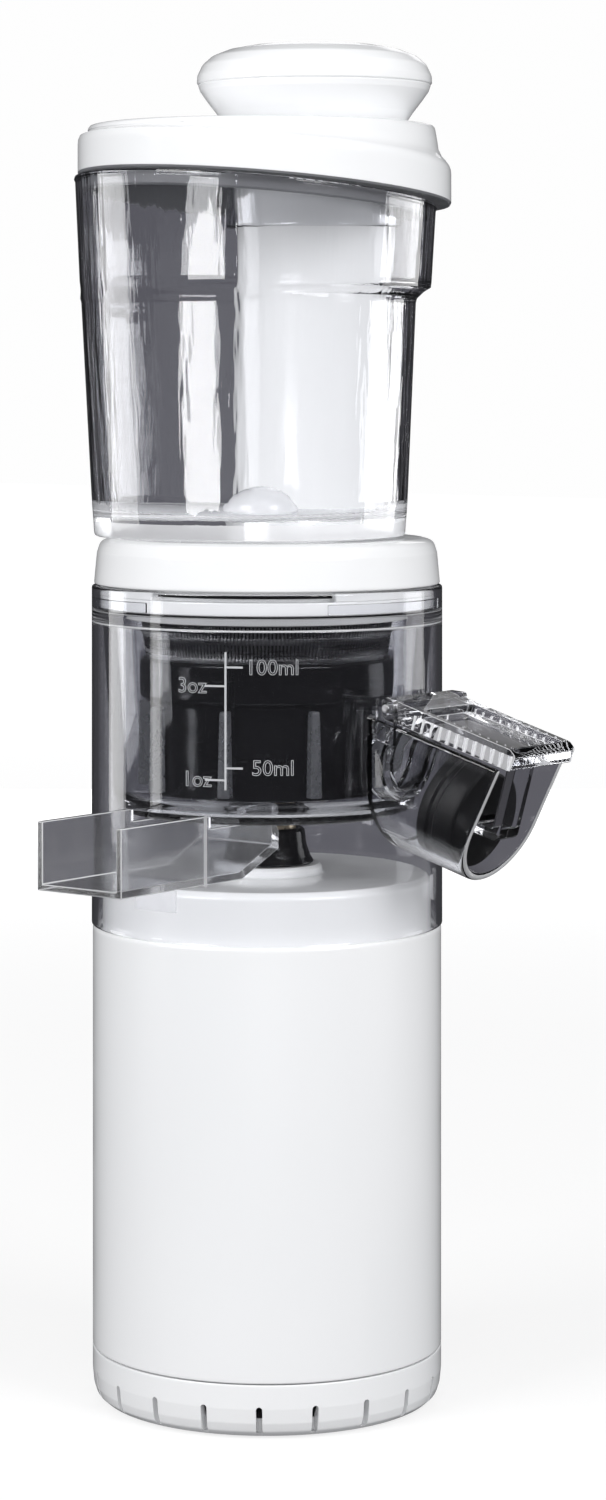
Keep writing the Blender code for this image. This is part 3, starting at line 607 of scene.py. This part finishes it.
def build_marks():
    """Raised volume marks: an upright line, four ticks and their figures in outline."""
    centre = -65.0
    bars = [(-0.25, 0.25, 171.4, 207.8)]
    for side, height in ((1, 203.8), (-1, 198.8), (1, 177.2), (-1, 174.0)):
        low, high = (0.25, 4.6) if side > 0 else (-5.6, -0.25)
        bars.append((low, high, height - 0.25, height + 0.25))
    work = bmesh.new()
    for left, right, low, high in bars:
        corners = []
        for out in (0.12, 0.5):
            corners.extend(work.verts.new(Vector(point) * MM) for point in wrap(
                [(left, low, out), (right, low, out), (right, high, out), (left, high, out)],
                centre, 0.0))
        for face in ((3, 2, 1, 0), (4, 5, 6, 7), (0, 1, 5, 4), (1, 2, 6, 5), (2, 3, 7, 6),
                     (3, 0, 4, 7)):
            work.faces.new([corners[i] for i in face])
    finish_mesh("mark_lines", work, MARKS_HIGHLIGHT, "bowl")
    for words, left, height in (("100ml", 5.3, 203.9), ("3oz", -13.6, 198.9),
                                ("50ml", 6.9, 177.4), ("1oz", -12.2, 174.2)):
        curve = bpy.data.curves.new("figures", "FONT")
        curve.body = words
        curve.size = 5.7 * MM
        curve.fill_mode = "NONE"
        curve.bevel_depth = 0.085 * MM
        curve.bevel_resolution = 1
        curve.resolution_u = 4
        holder = bpy.data.objects.new("figures", curve)
        bpy.context.scene.collection.objects.link(holder)
        graph = bpy.context.evaluated_depsgraph_get()
        mesh = bpy.data.meshes.new_from_object(holder.evaluated_get(graph))
        bpy.data.objects.remove(holder, do_unlink=True)
        for vertex in mesh.vertices:
            flat = (left + vertex.co.x / MM, vertex.co.y / MM - 2.0, 0.25 + vertex.co.z / MM)
            vertex.co = Vector(wrap([flat], centre, height)[0]) * MM
        mesh.materials.clear()
        mesh.materials.append(MARKS_HIGHLIGHT)
        mesh.shade_smooth()
        piece = bpy.data.objects.new("figures_%s" % words, mesh)
        bpy.context.scene.collection.objects.link(piece)
        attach(piece, "bowl")


def build_chute():
    outline = [(-79.3, 145.9), (-29.0, 145.9), (-13.2, 152.6), (-13.2, 157.5), (-15.0, 160.6),
               (-42.2, 160.6), (-42.2, 164.0), (-79.3, 164.0)]
    hollow = [(-86.0, 147.6), (-29.2, 147.6), (-15.0, 153.8), (-15.0, 172.0), (-86.0, 172.0)]
    work, inside = (solid([[(x, y, z) for y, z in shape] for x in (-half, half)])
                    for shape, half in ((outline, 14.35), (hollow, 12.6)))
    chute = finish_mesh("chute", work, CLOUDY, "bowl", ("pulp_chute",))
    carve(chute, inside)
    # The rounded edges get the edge material: painted highlight.
    soften(chute, 0.25, 2, EDGE_HIGHLIGHT)
    see_through(chute)


def build_strainer():
    """Fine slots in two rows round a tapered steel band, plain below where the drum hides it."""
    columns, slot_share, slot_rows = 216, 0.46, (1, 3)
    levels = [(213.6, 34.4), (213.3, 34.35), (210.3, 33.87), (208.7, 33.62), (204.8, 33.03),
              (203.6, 32.85), (198.0, 31.75), (192.0, 30.6), (172.7, 27.6)]
    work = bmesh.new()
    rows = []
    for height, radius in levels:
        row = []
        for index in range(columns * 2):
            share = 0.0 if index % 2 == 0 else slot_share
            angle = 2.0 * math.pi * (index // 2 + share) / columns
            row.append(work.verts.new(Vector(swung(radius, 0.0, angle, height)) * MM))
        rows.append(row)
    for level in range(len(levels) - 1):
        for index in range(columns * 2):
            if level in slot_rows and index % 2 == 0:
                continue
            turn = (index + 1) % (columns * 2)
            work.faces.new((rows[level][index], rows[level + 1][index], rows[level + 1][turn],
                            rows[level][turn]))
    screen = finish_mesh("screen", work, SCREEN_SHADED, "bowl", ("strainer_screen",))
    shell = screen.modifiers.new("wall", "SOLIDIFY")
    shell.thickness = 0.5 * MM
    shell.offset = -1.0
    for index, turn in enumerate((60.0, 180.0, 295.0)):
        rings = [[swung(radius + out, half, math.radians(FRONT + turn), height) for out, half in
                  ((-0.55, 2.0), (0.3, 1.7), (0.3, -1.7), (-0.55, -2.0))]
                 for height, radius in ((213.4, 34.4), (203.7, 32.9))]
        soften(finish_mesh("screen_rib_%d" % (index + 1), solid(rings), BLACK, "bowl"), 0.2, 2)
    lathe("screen_collar", [(33.2, 213.8, 0.4), (32.5, 209.8), (30.2, 209.8), (30.2, 213.8, 0.4)],
          BLACK, "bowl", radius=0.3, steps=96)
    base = lathe("screen_base", [(26.6, 172.4, 0.4), (26.6, 170.5), (9.4, 170.5), (9.4, 172.4)],
                 BLACK, "bowl", ("strainer_base",), 0.3, steps=96)
    carve(base, box((-7.5, -20.5, 168.0), (7.5, -15.4, 175.0)))


# -------- spout and cap

def spout_point(u, y, w):
    """A point so far down the spout, across it and out from its middle."""
    x = SPOUT_X + u * math.cos(SPOUT_SLOPE) + w * math.sin(SPOUT_SLOPE)
    z = SPOUT_Z - u * math.sin(SPOUT_SLOPE) + w * math.cos(SPOUT_SLOPE)
    return (x, y, z)


def channel(outer, inner, top, steps=40):
    """Section of an open channel with a round bottom and softened lips."""
    half = (outer - inner) / 2.0
    mid = (outer + inner) / 2.0
    points = []
    for index in range(7):
        angle = math.radians(90.0 * index / 6)
        points.append((-mid - half * math.sin(angle), top - half + half * math.cos(angle)))
    for index in range(steps + 1):
        angle = math.radians(180.0 + 180.0 * index / steps)
        points.append((outer * math.cos(angle), outer * math.sin(angle)))
    for index in range(13):
        angle = math.radians(-90.0 + 180.0 * index / 12)
        points.append((mid - half * math.sin(angle), top - half + half * math.cos(angle)))
    for index in range(steps + 1):
        angle = math.radians(360.0 - 180.0 * index / steps)
        points.append((inner * math.cos(angle), inner * math.sin(angle)))
    for index in range(1, 7):
        angle = math.radians(-90.0 + 90.0 * index / 6)
        points.append((-mid - half * math.sin(angle), top - half + half * math.cos(angle)))
    return points


def build_spout():
    mouth, lean = 30.2, 0.196
    rings = []
    for back, trim in ((None, 0.0), (1.1, 0.0), (0.6, 0.12), (0.2, 0.45), (0.0, 1.0)):
        ring = []
        for y, w in channel(15.6 - trim * 0.7, 13.6 + trim * 0.7, 19.0 - trim * 0.6):
            u = -10.0 if back is None else mouth + lean * w - back
            ring.append(spout_point(u, y, w))
        rings.append(ring)
    spout = finish_mesh("spout", solid(rings), CLEAR, "bowl", ("juice_spout",))
    carve(spout, rod(0.0, 0.0, 48.6, 120.0, 240.0, FINE))
    ear = rounded([(49.5, 184.5), (55.4, 182.8), (55.4, 195.0, 0.9), (49.8, 195.4, 0.9)], 0.3,
                  True, 5)
    carve(spout, prism(ear, (-16.9, -14.9)), prism(ear, (14.9, 16.9)), operation="UNION")

    # The outer rim of the mouth gets the edge material: painted highlight, a thin bright line.
    def at_mouth(centre, normal):
        x, z = centre.x - SPOUT_X, centre.z - SPOUT_Z
        u = x * math.cos(SPOUT_SLOPE) - z * math.sin(SPOUT_SLOPE)
        w = x * math.sin(SPOUT_SLOPE) + z * math.cos(SPOUT_SLOPE)
        return u - mouth - lean * w > -0.25
    paint_light_and_shade(spout, EDGE_HIGHLIGHT, at_mouth)
    see_through(spout)
    lathe("hinge_rod", [(0.0, 17.3), (1.2, 17.3, 0.3), (1.2, -17.3, 0.3), (0.0, -17.3)], STEEL,
          "bowl", ("hinge_pin",), 0.1, (HINGE_X, 0.0), HINGE_Z, 32)


def across_spout(outline, steps):
    """An outline of (y, w) drawn out between two distances down the spout."""
    return solid([[spout_point(u, y, w) for y, w in outline] for u in steps])


def build_cap():
    outline = rounded([(50.2, 190.4, 0.6), (50.2, 194.6, 0.7), (51.3, 195.5, 0.5),
                       (90.6, 184.1, 1.6), (92.3, 182.3, 1.3), (90.4, 178.3, 0.8),
                       (51.2, 189.5, 0.6)], 0.5, True, 4)
    cap = finish_mesh("flip_cap", prism(outline, (-14.0, 14.0)), CLEAR, "cap", ("spout_cap",))
    shape = rounded([(4.6, -11.4), (35.0, -11.4), (35.0, 11.4), (4.6, 11.4)], 2.0, True, 5)
    window = solid([[spout_point(u, y, w) for u, y in shape] for w in (22.9, 30.0)])
    pin_hole = prism([(HINGE_X + x, HINGE_Z + z) for x, z, _ in circle(0.0, 0.0, 1.5, 0.0, 32)],
                     (-20.0, 20.0))
    oval = across_spout([(8.5 * y, 22.1 + 1.75 * w) for y, w, _ in
                         circle(0.0, 0.0, 1.0, 0.0, 48)], (39.3, 50.0))
    carve(cap, window, pin_hole, oval)
    # The cap's rounded edges get the edge material: painted highlight.
    soften(cap, 0.4, 3, EDGE_HIGHLIGHT)
    see_through(cap)
    # The side ribs are drawn in the edge material: painted highlight, thin bright lines.
    for name, side in (("a", -1), ("b", 1)):
        for index in range(12):
            u = 4.4 + 2.9 * index
            rings = [[spout_point(u + half, y * side, w) for half, w in
                      ((-0.3, 19.7), (0.3, 19.7), (0.3, 23.6), (-0.3, 23.6))]
                     for y in (13.9, 14.48)]
            rib = finish_mesh("cap_rib_%s_%d" % (name, index + 1), solid(rings), EDGE_HIGHLIGHT, "cap")
            soften(see_through(rib), 0.12, 2)
    shape = rounded([(29.5, 19.1), (32.2, 19.1), (32.2, -1.4, 1.6), (31.0, -2.6, 1.6),
                     (23.8, -2.6), (23.8, 0.2), (29.5, 0.2, 0.8)], 0.3, True, 5)
    work = solid([[spout_point(u, y, w) for u, w in shape] for y in (-4.5, 4.5)])
    tongue = finish_mesh("cap_tongue", work, CLEAR, "cap", ("cap_bracket",))
    soften(see_through(tongue), 0.5, 3)
    rings = []
    for u, r in ((11.5, 12.4), (11.9, 13.0), (12.6, 13.2), (14.6, 13.2), (15.2, 12.5),
                 (16.6, 12.5), (17.2, 13.2), (22.4, 13.2), (23.1, 13.0), (23.5, 12.4)):
        rings.append([spout_point(u, y, w) for y, w, _ in circle(0.0, 0.0, r, 0.0, 96)])
    plug = finish_mesh("drip_stop", solid(rings), SILICONE, "cap", ("cap_plug",))
    notch = rounded([(-5.5, -3.6), (5.5, -3.6), (5.5, 1.4), (-5.5, 1.4)], 0.8, True, 3)
    carve(plug, across_spout(notch, (20.5, 30.0)))


# -------- drum and auger

def build_drum():
    outline = [(34.2, 203.5, 0.6), (35.0, 202.8, 0.8), (35.0, 193.2, 1.2), (33.4, 192.0, 0.6),
               (32.3, 191.6, 0.6), (32.3, 165.8, 0.6), (30.2, 165.8), (31.1, 192.0),
               (33.3, 203.5)]
    lathe("drum", outline, BLACK, "brush", ("brush_drum",), 0.3)
    # four of the nine blades stand for the wipers of the CAD
    names = {0: "wiper_1", 8: "wiper_2", 3: "wiper_3", 4: "wiper_4"}
    for index in range(9):
        middle = math.radians(FRONT + 21.2 + 40.0 * index)
        rings = []
        for height, half, reach in ((167.6, 1.55, 36.2), (168.2, 1.6, 36.4), (180.0, 1.35, 36.2),
                                    (190.3, 1.15, 36.0), (190.9, 1.05, 35.8)):
            rings.append([swung(radial, across, middle, height) for radial, across in
                          ((32.6, -half), (reach - 0.5, -half), (reach, -half * 0.4),
                           (reach, half * 0.4), (reach - 0.5, half), (32.6, half))])
        nodes = (names[index],) if index in names else ()
        blade = finish_mesh("blade_%d" % (index + 1), solid(rings), WIPER, "brush", nodes)
        soften(blade, 0.2, 2)


def build_auger():
    """Two smooth flights wound up a core, above a boss with the drive socket."""
    count = 72
    rings = [circle(0.0, 0.0, 4.6, 211.4, count), circle(0.0, 0.0, 7.6, 211.0, count),
             circle(0.0, 0.0, 8.2, 210.3, count)]
    levels = 60
    for index in range(levels + 1):
        share = index / levels
        height = 208.0 - 31.0 * share
        core = 9.0 + 7.0 * share
        flight = 29.9 - 5.0 * share
        ring = []
        for side in range(count):
            angle = 360.0 * side / count
            lobe = (angle + 300.0 * share) % 180.0
            lobe = min(lobe, 180.0 - lobe)
            rise = max(0.0, 1.0 - max(0.0, lobe - 4.0) / 22.0)
            rise = rise * rise * (3.0 - 2.0 * rise)
            radius = core + (flight - core) * rise
            ring.append((*polar(angle, radius), height))
        rings.append(ring)
    for radius, height in ((14.0, 174.6), (5.1, 173.6), (5.1, 158.8)):
        rings.append(circle(0.0, 0.0, radius, height, count))
    for height in (158.8, 188.0):
        ring = []
        for side in range(count):
            angle = 360.0 * side / count
            within = math.radians(angle % 60.0 - 30.0)
            reach = 4.15 * math.cos(math.radians(30.0)) / math.cos(within)
            ring.append((*polar(angle, reach), height))
        rings.append(ring)
    finish_mesh("screw", solid(rings), BLACK, "auger", ("auger",))
    lathe("screw_pin", [(0.0, 224.0), (3.0, 224.0, 0.8), (3.0, 211.8), (0.0, 211.8)], STEEL,
          "auger", ("auger_pin",), 0.2, steps=48)


# -------- feed lid, hopper, lid, pusher

def arc_block(name, inner, outer, low, high, start, stop, material, body):
    steps = max(6, int(abs(stop - start) / 3.0))
    rings = []
    for index in range(steps + 1):
        angle = start + (stop - start) * index / steps
        rings.append([(*polar(angle, r), z) for r, z in
                      ((inner, low), (outer, low), (outer, high), (inner, high))])
    piece = finish_mesh(name, solid(rings), material, body)
    soften(piece, 0.4, 3)
    return piece


def build_feed_lid():
    outline = [(43.0, 236.0, 3.0), (45.9, 235.2, 3.0), (46.9, 232.0, 2.5), (47.7, 223.4, 0.6),
               (43.2, 223.4, 0.3), (43.2, 220.6, 0.3), (45.9, 220.6, 0.4), (45.9, 216.9, 0.6),
               (40.0, 216.9, 0.4), (40.0, 214.0, 0.6), (36.8, 214.0), (36.8, 219.4, 0.8),
               (8.0, 219.4, 0.8), (8.0, 215.6), (5.6, 215.6), (5.6, 226.0), (8.0, 226.0, 0.6),
               (8.0, 222.4, 1.2), (37.2, 222.4, 1.2), (37.2, 236.0, 0.8)]
    lid = lathe("ring_lid", outline, WHITE, "feed", ("feed_lid",), 0.4)
    carve(lid, rod(*polar(OFFSET, 21.6), 12.6, 210.0, 230.0, 72))
    for index, start in enumerate((-29.0, 91.0, 211.0)):
        arc_block("lid_lug_%d" % (index + 1), 43.0, 45.95, 220.5, 222.9, start, start + 56.0,
                  WHITE, "feed")
        see_through(arc_block("rim_ledge_%d" % (index + 1), 46.05, 46.6, 217.2, 220.0,
                              start - 3.0, start + 54.0, CLEAR, "bowl"))
    # Two thin black rings in the lid's groove and under its plug: painted shade, dark lines where
    # the gaps fall into shade.
    lathe("groove_shadow_ring", [(43.8, 222.7, 0.2), (43.8, 221.5, 0.2), (43.3, 221.5), (43.3, 222.7)],
          SILICONE, "feed", radius=0.1)
    lathe("plug_shadow_ring", [(46.2, 216.8, 0.15), (46.2, 216.4, 0.15), (43.8, 216.4), (43.8, 216.8)],
          SILICONE, "feed", radius=0.1)
    lathe("top_bush", [(5.2, 225.6, 0.3), (5.2, 216.0), (3.4, 216.0), (3.4, 225.6, 0.3)], BUSH,
          "feed", ("lid_bush",), 0.2, steps=64)


def build_hopper():
    guide = polar(OFFSET, GUIDE)
    foot = polar(OFFSET, -4.8)
    wall = polar(OFFSET, -5.1)
    rim = polar(OFFSET, -3.2)
    floor = [near * 0.72 + far * 0.28 for near, far in zip(guide, foot)]
    rings = stack((
        (guide, ((22.3, 237.0), (22.9, 236.5))),
        (foot, ((41.9, 236.5), (42.6, 236.8), (42.9, 237.5), (43.1, 240.9), (43.2, 241.9),
                (43.5, 246.0))),
        (wall, ((46.1, 300.6), (46.4, 301.8))),
        (polar(OFFSET, -4.1), ((47.3, 303.6),)),
        (polar(OFFSET, -3.15), ((48.3, 304.8), (48.5, 306.4))),
        (rim, ((49.7, tilted(RIM_Z - 1.6)), (50.0, tilted(RIM_Z - 0.9)),
               (49.8, tilted(RIM_Z - 0.2)), (49.3, tilted(RIM_Z)), (48.2, tilted(RIM_Z)),
               (47.8, tilted(RIM_Z - 0.5)))),
        (polar(OFFSET, -3.35), ((46.25, 307.2), (46.05, 306.0))),
        (polar(OFFSET, -3.6), ((45.8, 305.2),)),
        (wall, ((44.2, 303.2), (44.0, 301.6))),
        (foot, ((41.3, 246.5), (40.8, 244.2), (39.6, 242.8), (38.2, 242.2))),
        (floor, ((27.0, 242.2),)),
        (guide, ((22.7, 242.2), (22.3, 241.8)))))
    hopper = finish_mesh("clear_hopper", skin(rings, True), HOPPER_CLEAR, "feed", ("hopper",))
    # The hopper's floor and bottom rim get the edge material: painted highlight.
    paint_light_and_shade(hopper, EDGE_HIGHLIGHT, lambda centre, normal: centre.z < 241.3 or (
        centre.z < 243.0 and normal.z > 0.8))
    # A dome on the hopper's floor, drawn wholly in the edge material, so it shows as a painted
    # highlight.
    dome = []
    for index in range(12):
        radius, height = polar(90.0 * index / 12, 1.0)
        dome.append(circle(15.9, -23.1, 10.2 * radius, 242.35 + 8.6 * height, 64))
    work = skin(dome, False, (None, (15.9, -23.1, 242.35 + 8.6)))
    scoop = finish_mesh("scoop", work, EDGE_HIGHLIGHT, "feed")
    shell = scoop.modifiers.new("wall", "SOLIDIFY")
    shell.thickness = 1.3 * MM
    shell.offset = -1.0
    return see_through(hopper), see_through(scoop)


def build_hopper_lid():
    guide = polar(OFFSET, GUIDE)
    rim = polar(OFFSET, -3.2)
    top = polar(38.0, -1.5)
    waist = polar(38.0, -1.1)
    skirt = polar(38.0, -0.7)
    rings = stack((
        (guide, ((22.6, 349.1), (23.0, 349.4))),
        (top, ((46.7, 349.4), (47.3, 349.2), (47.75, 348.7), (47.95, 348.0))),
        (waist, ((48.1, tilted(346.3, 0.4)), (48.4, tilted(344.9, 0.6)))),
        (skirt, ((49.0, tilted(343.6, 0.8)), (50.2, tilted(342.7, 0.9)), (51.0, tilted(342.0)),
                 (51.4, tilted(341.0)), (51.5, tilted(339.8)), (51.5, tilted(RIM_Z + 1.1)),
                 (51.2, tilted(RIM_Z + 0.5)), (50.6, tilted(RIM_Z + 0.4)))),
        (rim, ((46.9, tilted(RIM_Z + 0.4)), (46.9, tilted(RIM_Z - 3.3)),
               (46.5, tilted(RIM_Z - 3.8)), (45.2, tilted(RIM_Z - 3.8)),
               (44.9, tilted(RIM_Z - 3.4)), (44.9, 343.6), (44.0, 344.6))),
        (guide, ((22.9, 346.6), (22.6, 346.9)))))
    cover = finish_mesh("cover", skin(rings, True), WHITE, "hopper_cover", ("hopper_lid",))

    # Faces under the rim, facing down, or deep in the plug get the painted shade.
    def inside(centre, normal):
        reach = math.hypot(centre.x - rim[0], centre.y - rim[1])
        below_rim = centre.z < tilted(RIM_Z + 0.45)(centre.x, centre.y) and reach < 47.2
        return below_rim or normal.z < -0.25 or (reach < 45.5 and centre.z < 345.0)
    paint_light_and_shade(cover, LID_PAINTED_SHADE, inside)
    see_through(lathe("collar", [(24.4, 344.0), (24.4, 321.0, 0.6), (22.5, 321.0, 0.6),
                                 (22.5, 344.0)], CLEAR, "hopper_cover", ("guide_collar",), 0.3,
                      guide, steps=112))


def build_pusher():
    guide = polar(OFFSET, GUIDE)
    lathe("shaft", [(0.0, 241.6), (19.9, 241.6), (19.9, 349.3), (21.9, 349.3), (21.9, 239.2, 1.4),
                    (20.6, 238.6, 0.6), (0.0, 238.6)], WHITE, "pusher", ("pusher_shaft",), 0.4,
          guide, steps=128)
    lathe("knob", [(0.0, 372.0), (10.0, 371.95, 4.0), (18.0, 371.4, 6.0), (24.0, 370.3, 5.0),
                   (28.3, 368.6, 4.0), (31.0, 366.2, 3.0), (32.4, 363.2, 2.5), (32.5, 361.2, 0.6),
                   (32.2, 360.9, 0.1), (31.9, 360.9, 0.1), (32.1, 360.6, 0.2), (31.6, 359.0, 1.5),
                   (29.7, 356.3, 3.0), (27.3, 353.2, 3.0), (25.7, 350.8, 1.0), (25.3, 349.8, 0.2),
                   (0.0, 349.8)], WHITE, "pusher", ("pusher_knob",), 0.4, guide)


# -------- the rest of the frame

def paint_nodes():
    """Carried-over CAD nodes: the hidden drive and the small gears."""
    chosen = ((SATIN_BLACK, ("motor_mount", "gearbox_plate", "gearbox_cover", "cooling_fan")),
              (STEEL, ("motor_end_cap", "motor_can", "motor_rotor", "planet_carrier",
                       "output_shaft")),
              (GEAR, ("ring_gear", "planet_gear_1", "planet_gear_2", "planet_gear_3",
                      "idler_gear")),
              (BOARD, ("control_board",)), (BUSH, ("sun_gear",)), (SILICONE, ("bowl_seal",)),
              (BLACK, ("auger_gear", "brush_ring_gear")))
    for material, names in chosen:
        for name in names:
            mesh = frame["nodes"][name].data
            if not mesh.materials:
                mesh.materials.append(material)
            for index in range(len(mesh.materials)):
                mesh.materials[index] = material


# -------- studio

def area_light(name, azimuth, distance, height, size, power, target=(0.0, 0.0, 0.2)):
    """azimuth is measured from the camera's side, positive to its right."""
    data = bpy.data.lights.new(name, "AREA")
    data.shape = "RECTANGLE"
    data.size, data.size_y = size
    data.energy = power
    light = bpy.data.objects.new(name, data)
    light.location = (*polar(FRONT + azimuth, distance), height)
    direction = Vector(target) - light.location
    light.rotation_euler = direction.to_track_quat("-Z", "Y").to_euler()
    light.visible_camera = False
    bpy.context.scene.collection.objects.link(light)
    return light


def strip_light(name, azimuth, distance, low, high, width, radiance):
    """An upright panel that only shows as a reflection or through clear plastic."""
    size = (width, high - low)
    middle = (low + high) / 2.0
    power = radiance * math.pi * size[0] * size[1]
    light = area_light(name, azimuth, distance, middle, size, power, (0.0, 0.0, middle))
    light.visible_diffuse = False
    return light


def shine_on(light, pieces):
    """Flags a light so that it falls on these pieces only."""
    group = bpy.data.collections.new(light.name + "_falls_on")
    for piece in pieces:
        group.objects.link(piece)
    light.light_linking.receiver_collection = group


def side_fill(name, azimuth, power):
    """A low soft light for the white parts that never shows in the clear plastic."""
    light = area_light(name, azimuth, 1.5, 0.1, (0.7, 0.6), power, (0.0, 0.0, 0.08))
    light.visible_glossy = False
    light.visible_transmission = False


def build_world():
    """White to the camera, darker to what clear plastic reflects or lets through."""
    world = bpy.data.worlds.new("studio")
    bpy.context.scene.world = world
    world.use_nodes = True
    background = world.node_tree.nodes["Background"]
    path = node(world, "ShaderNodeLightPath")
    straight = node(world, "ShaderNodeMath", operation="LESS_THAN")
    straight.inputs[1].default_value = 0.5
    link(world, path.outputs["Glossy Depth"], straight.inputs[0])
    through = node(world, "ShaderNodeMath", operation="MULTIPLY")
    link(world, path.outputs["Is Transmission Ray"], through.inputs[0])
    link(world, straight.outputs[0], through.inputs[1])
    color = None
    for flag, tone in ((path.outputs["Is Glossy Ray"], (0.03, 0.03, 0.033)),
                       (path.outputs["Is Transmission Ray"], (0.06, 0.059, 0.066)),
                       (through.outputs[0], (0.13, 0.128, 0.145)),
                       (path.outputs["Is Camera Ray"], (0.99, 0.99, 0.99))):
        mix = node(world, "ShaderNodeMix", data_type="RGBA")
        mix.inputs[6].default_value = (0.27, 0.272, 0.28, 1.0)
        mix.inputs[7].default_value = (*tone, 1.0)
        link(world, flag, mix.inputs[0])
        if color is not None:
            link(world, color, mix.inputs[6])
        color = mix.outputs[2]
    link(world, color, background.inputs["Color"])
    background.inputs["Strength"].default_value = 1.0


def build_floor():
    """A pale floor that glows more with distance, so that it fades into the background."""
    work = bmesh.new()
    bmesh.ops.create_grid(work, x_segments=2, y_segments=2, size=6.0)
    mesh = bpy.data.meshes.new("floor")
    work.to_mesh(mesh)
    work.free()
    floor = bpy.data.objects.new("floor", mesh)
    pale = new_material("pale_floor", (0.3, 0.3, 0.3), 1.0, Specular_IOR_Level=0.0,
                        Emission_Color=(1.0, 1.0, 1.0, 1.0))
    tint(pale, noise(pale, 3.0, 2.0), (0.295, 0.295, 0.295), (0.305, 0.305, 0.305))
    coords = node(pale, "ShaderNodeTexCoord")
    reach = node(pale, "ShaderNodeVectorMath", operation="LENGTH")
    glow = node(pale, "ShaderNodeMapRange", interpolation_type="SMOOTHSTEP")
    for socket, value in (("From Min", 0.15), ("From Max", 2.4), ("To Min", 0.72),
                          ("To Max", 0.93)):
        glow.inputs[socket].default_value = value
    link(pale, coords.outputs["Object"], reach.inputs[0])
    link(pale, reach.outputs["Value"], glow.inputs["Value"])
    shader = pale.node_tree.nodes["Principled BSDF"]
    link(pale, glow.outputs["Result"], shader.inputs["Emission Strength"])
    mesh.materials.append(pale)
    bpy.context.scene.collection.objects.link(floor)
    floor.visible_transmission = False
    floor.visible_diffuse = False
    floor.visible_glossy = False
    return floor


def build_lights(hopper_pieces, floor):
    """The strips fall on chosen pieces only, and the cap gets less of the light from behind."""
    area_light("key_left", -50.0, 1.3, 0.95, (0.7, 0.8), 11.6)
    area_light("key_right", 45.0, 1.3, 0.95, (0.7, 0.8), 11.2)
    area_light("top", 0.0, 0.5, 1.6, (0.8, 0.8), 2.2)
    side_fill("fill_front", 0.0, 7.2)
    side_fill("fill_left", -80.0, 6.5)
    side_fill("fill_right", 80.0, 6.5)
    side_fill("fill_rear", 180.0, 5.0)
    others = []
    on_cap = []
    off_cap = [floor, *hopper_pieces]
    for piece in bpy.context.scene.objects:
        if piece.type != "MESH" or piece in off_cap:
            continue
        if piece.name.startswith(("cap_rib", "drip_stop", "flip_cap")):
            on_cap.append(piece)
            continue
        off_cap.append(piece)
        if piece.data.materials and piece.data.materials[0] not in (None, WHITE):
            others.append(piece)
    for name, power, pieces in (("rear_high", 0.8, off_cap), ("rear_high_cap", 0.3, on_cap)):
        shine_on(area_light(name, 172.0, 1.5, 0.85, (0.6, 0.35), power), pieces)
    for pieces, strips in (
            (hopper_pieces, (("hopper_front", -33.0, 1.3, 0.03, 0.255, 0.58, 11.5),
                             ("hopper_left", -104.0, 1.1, 0.0, 0.42, 0.6, 3.9),
                             ("hopper_right", 111.0, 1.1, 0.0, 0.42, 0.85, 3.8))),
            (others, (("strip_rear_left", -115.0, 1.1, 0.02, 0.6, 0.36, 2.7),
                      ("strip_side_left", -76.0, 1.1, 0.01, 0.16, 0.16, 3.5),
                      ("strip_rear_right", 112.0, 1.1, 0.02, 0.6, 0.42, 1.6)))):
        for strip in strips:
            shine_on(strip_light(*strip), pieces)
    spark = area_light("spark", -69.0, 1.1, 0.52, (0.06, 0.06), 0.7, (0.06, 0.0, 0.17))
    spark.visible_diffuse = False


def build_camera():
    data = bpy.data.cameras.new("camera")
    camera = bpy.data.objects.new("camera", data)
    bpy.context.scene.collection.objects.link(camera)
    camera.location = (*polar(FRONT, 1.0566), 0.2835)
    camera.rotation_euler = (math.radians(90.0), 0.0, math.radians(FRONT + 90.0))
    data.lens = 91.9
    data.sensor_width = 36.0
    data.shift_x = 0.024
    data.shift_y = -0.2567
    data.clip_start = 0.05
    data.clip_end = 50.0
    bpy.context.scene.camera = camera


build_camera()
build_body()
build_pan()
build_small_base_parts()
build_deck()
build_bowl()
build_skirt_lugs()
build_marks()
build_chute()
build_strainer()
build_spout()
build_cap()
build_drum()
build_auger()
build_feed_lid()
hopper_pieces = build_hopper()
build_hopper_lid()
build_pusher()
paint_nodes()
build_world()
build_lights(hopper_pieces, build_floor())
bpy.context.scene.view_settings.view_transform = "Standard"
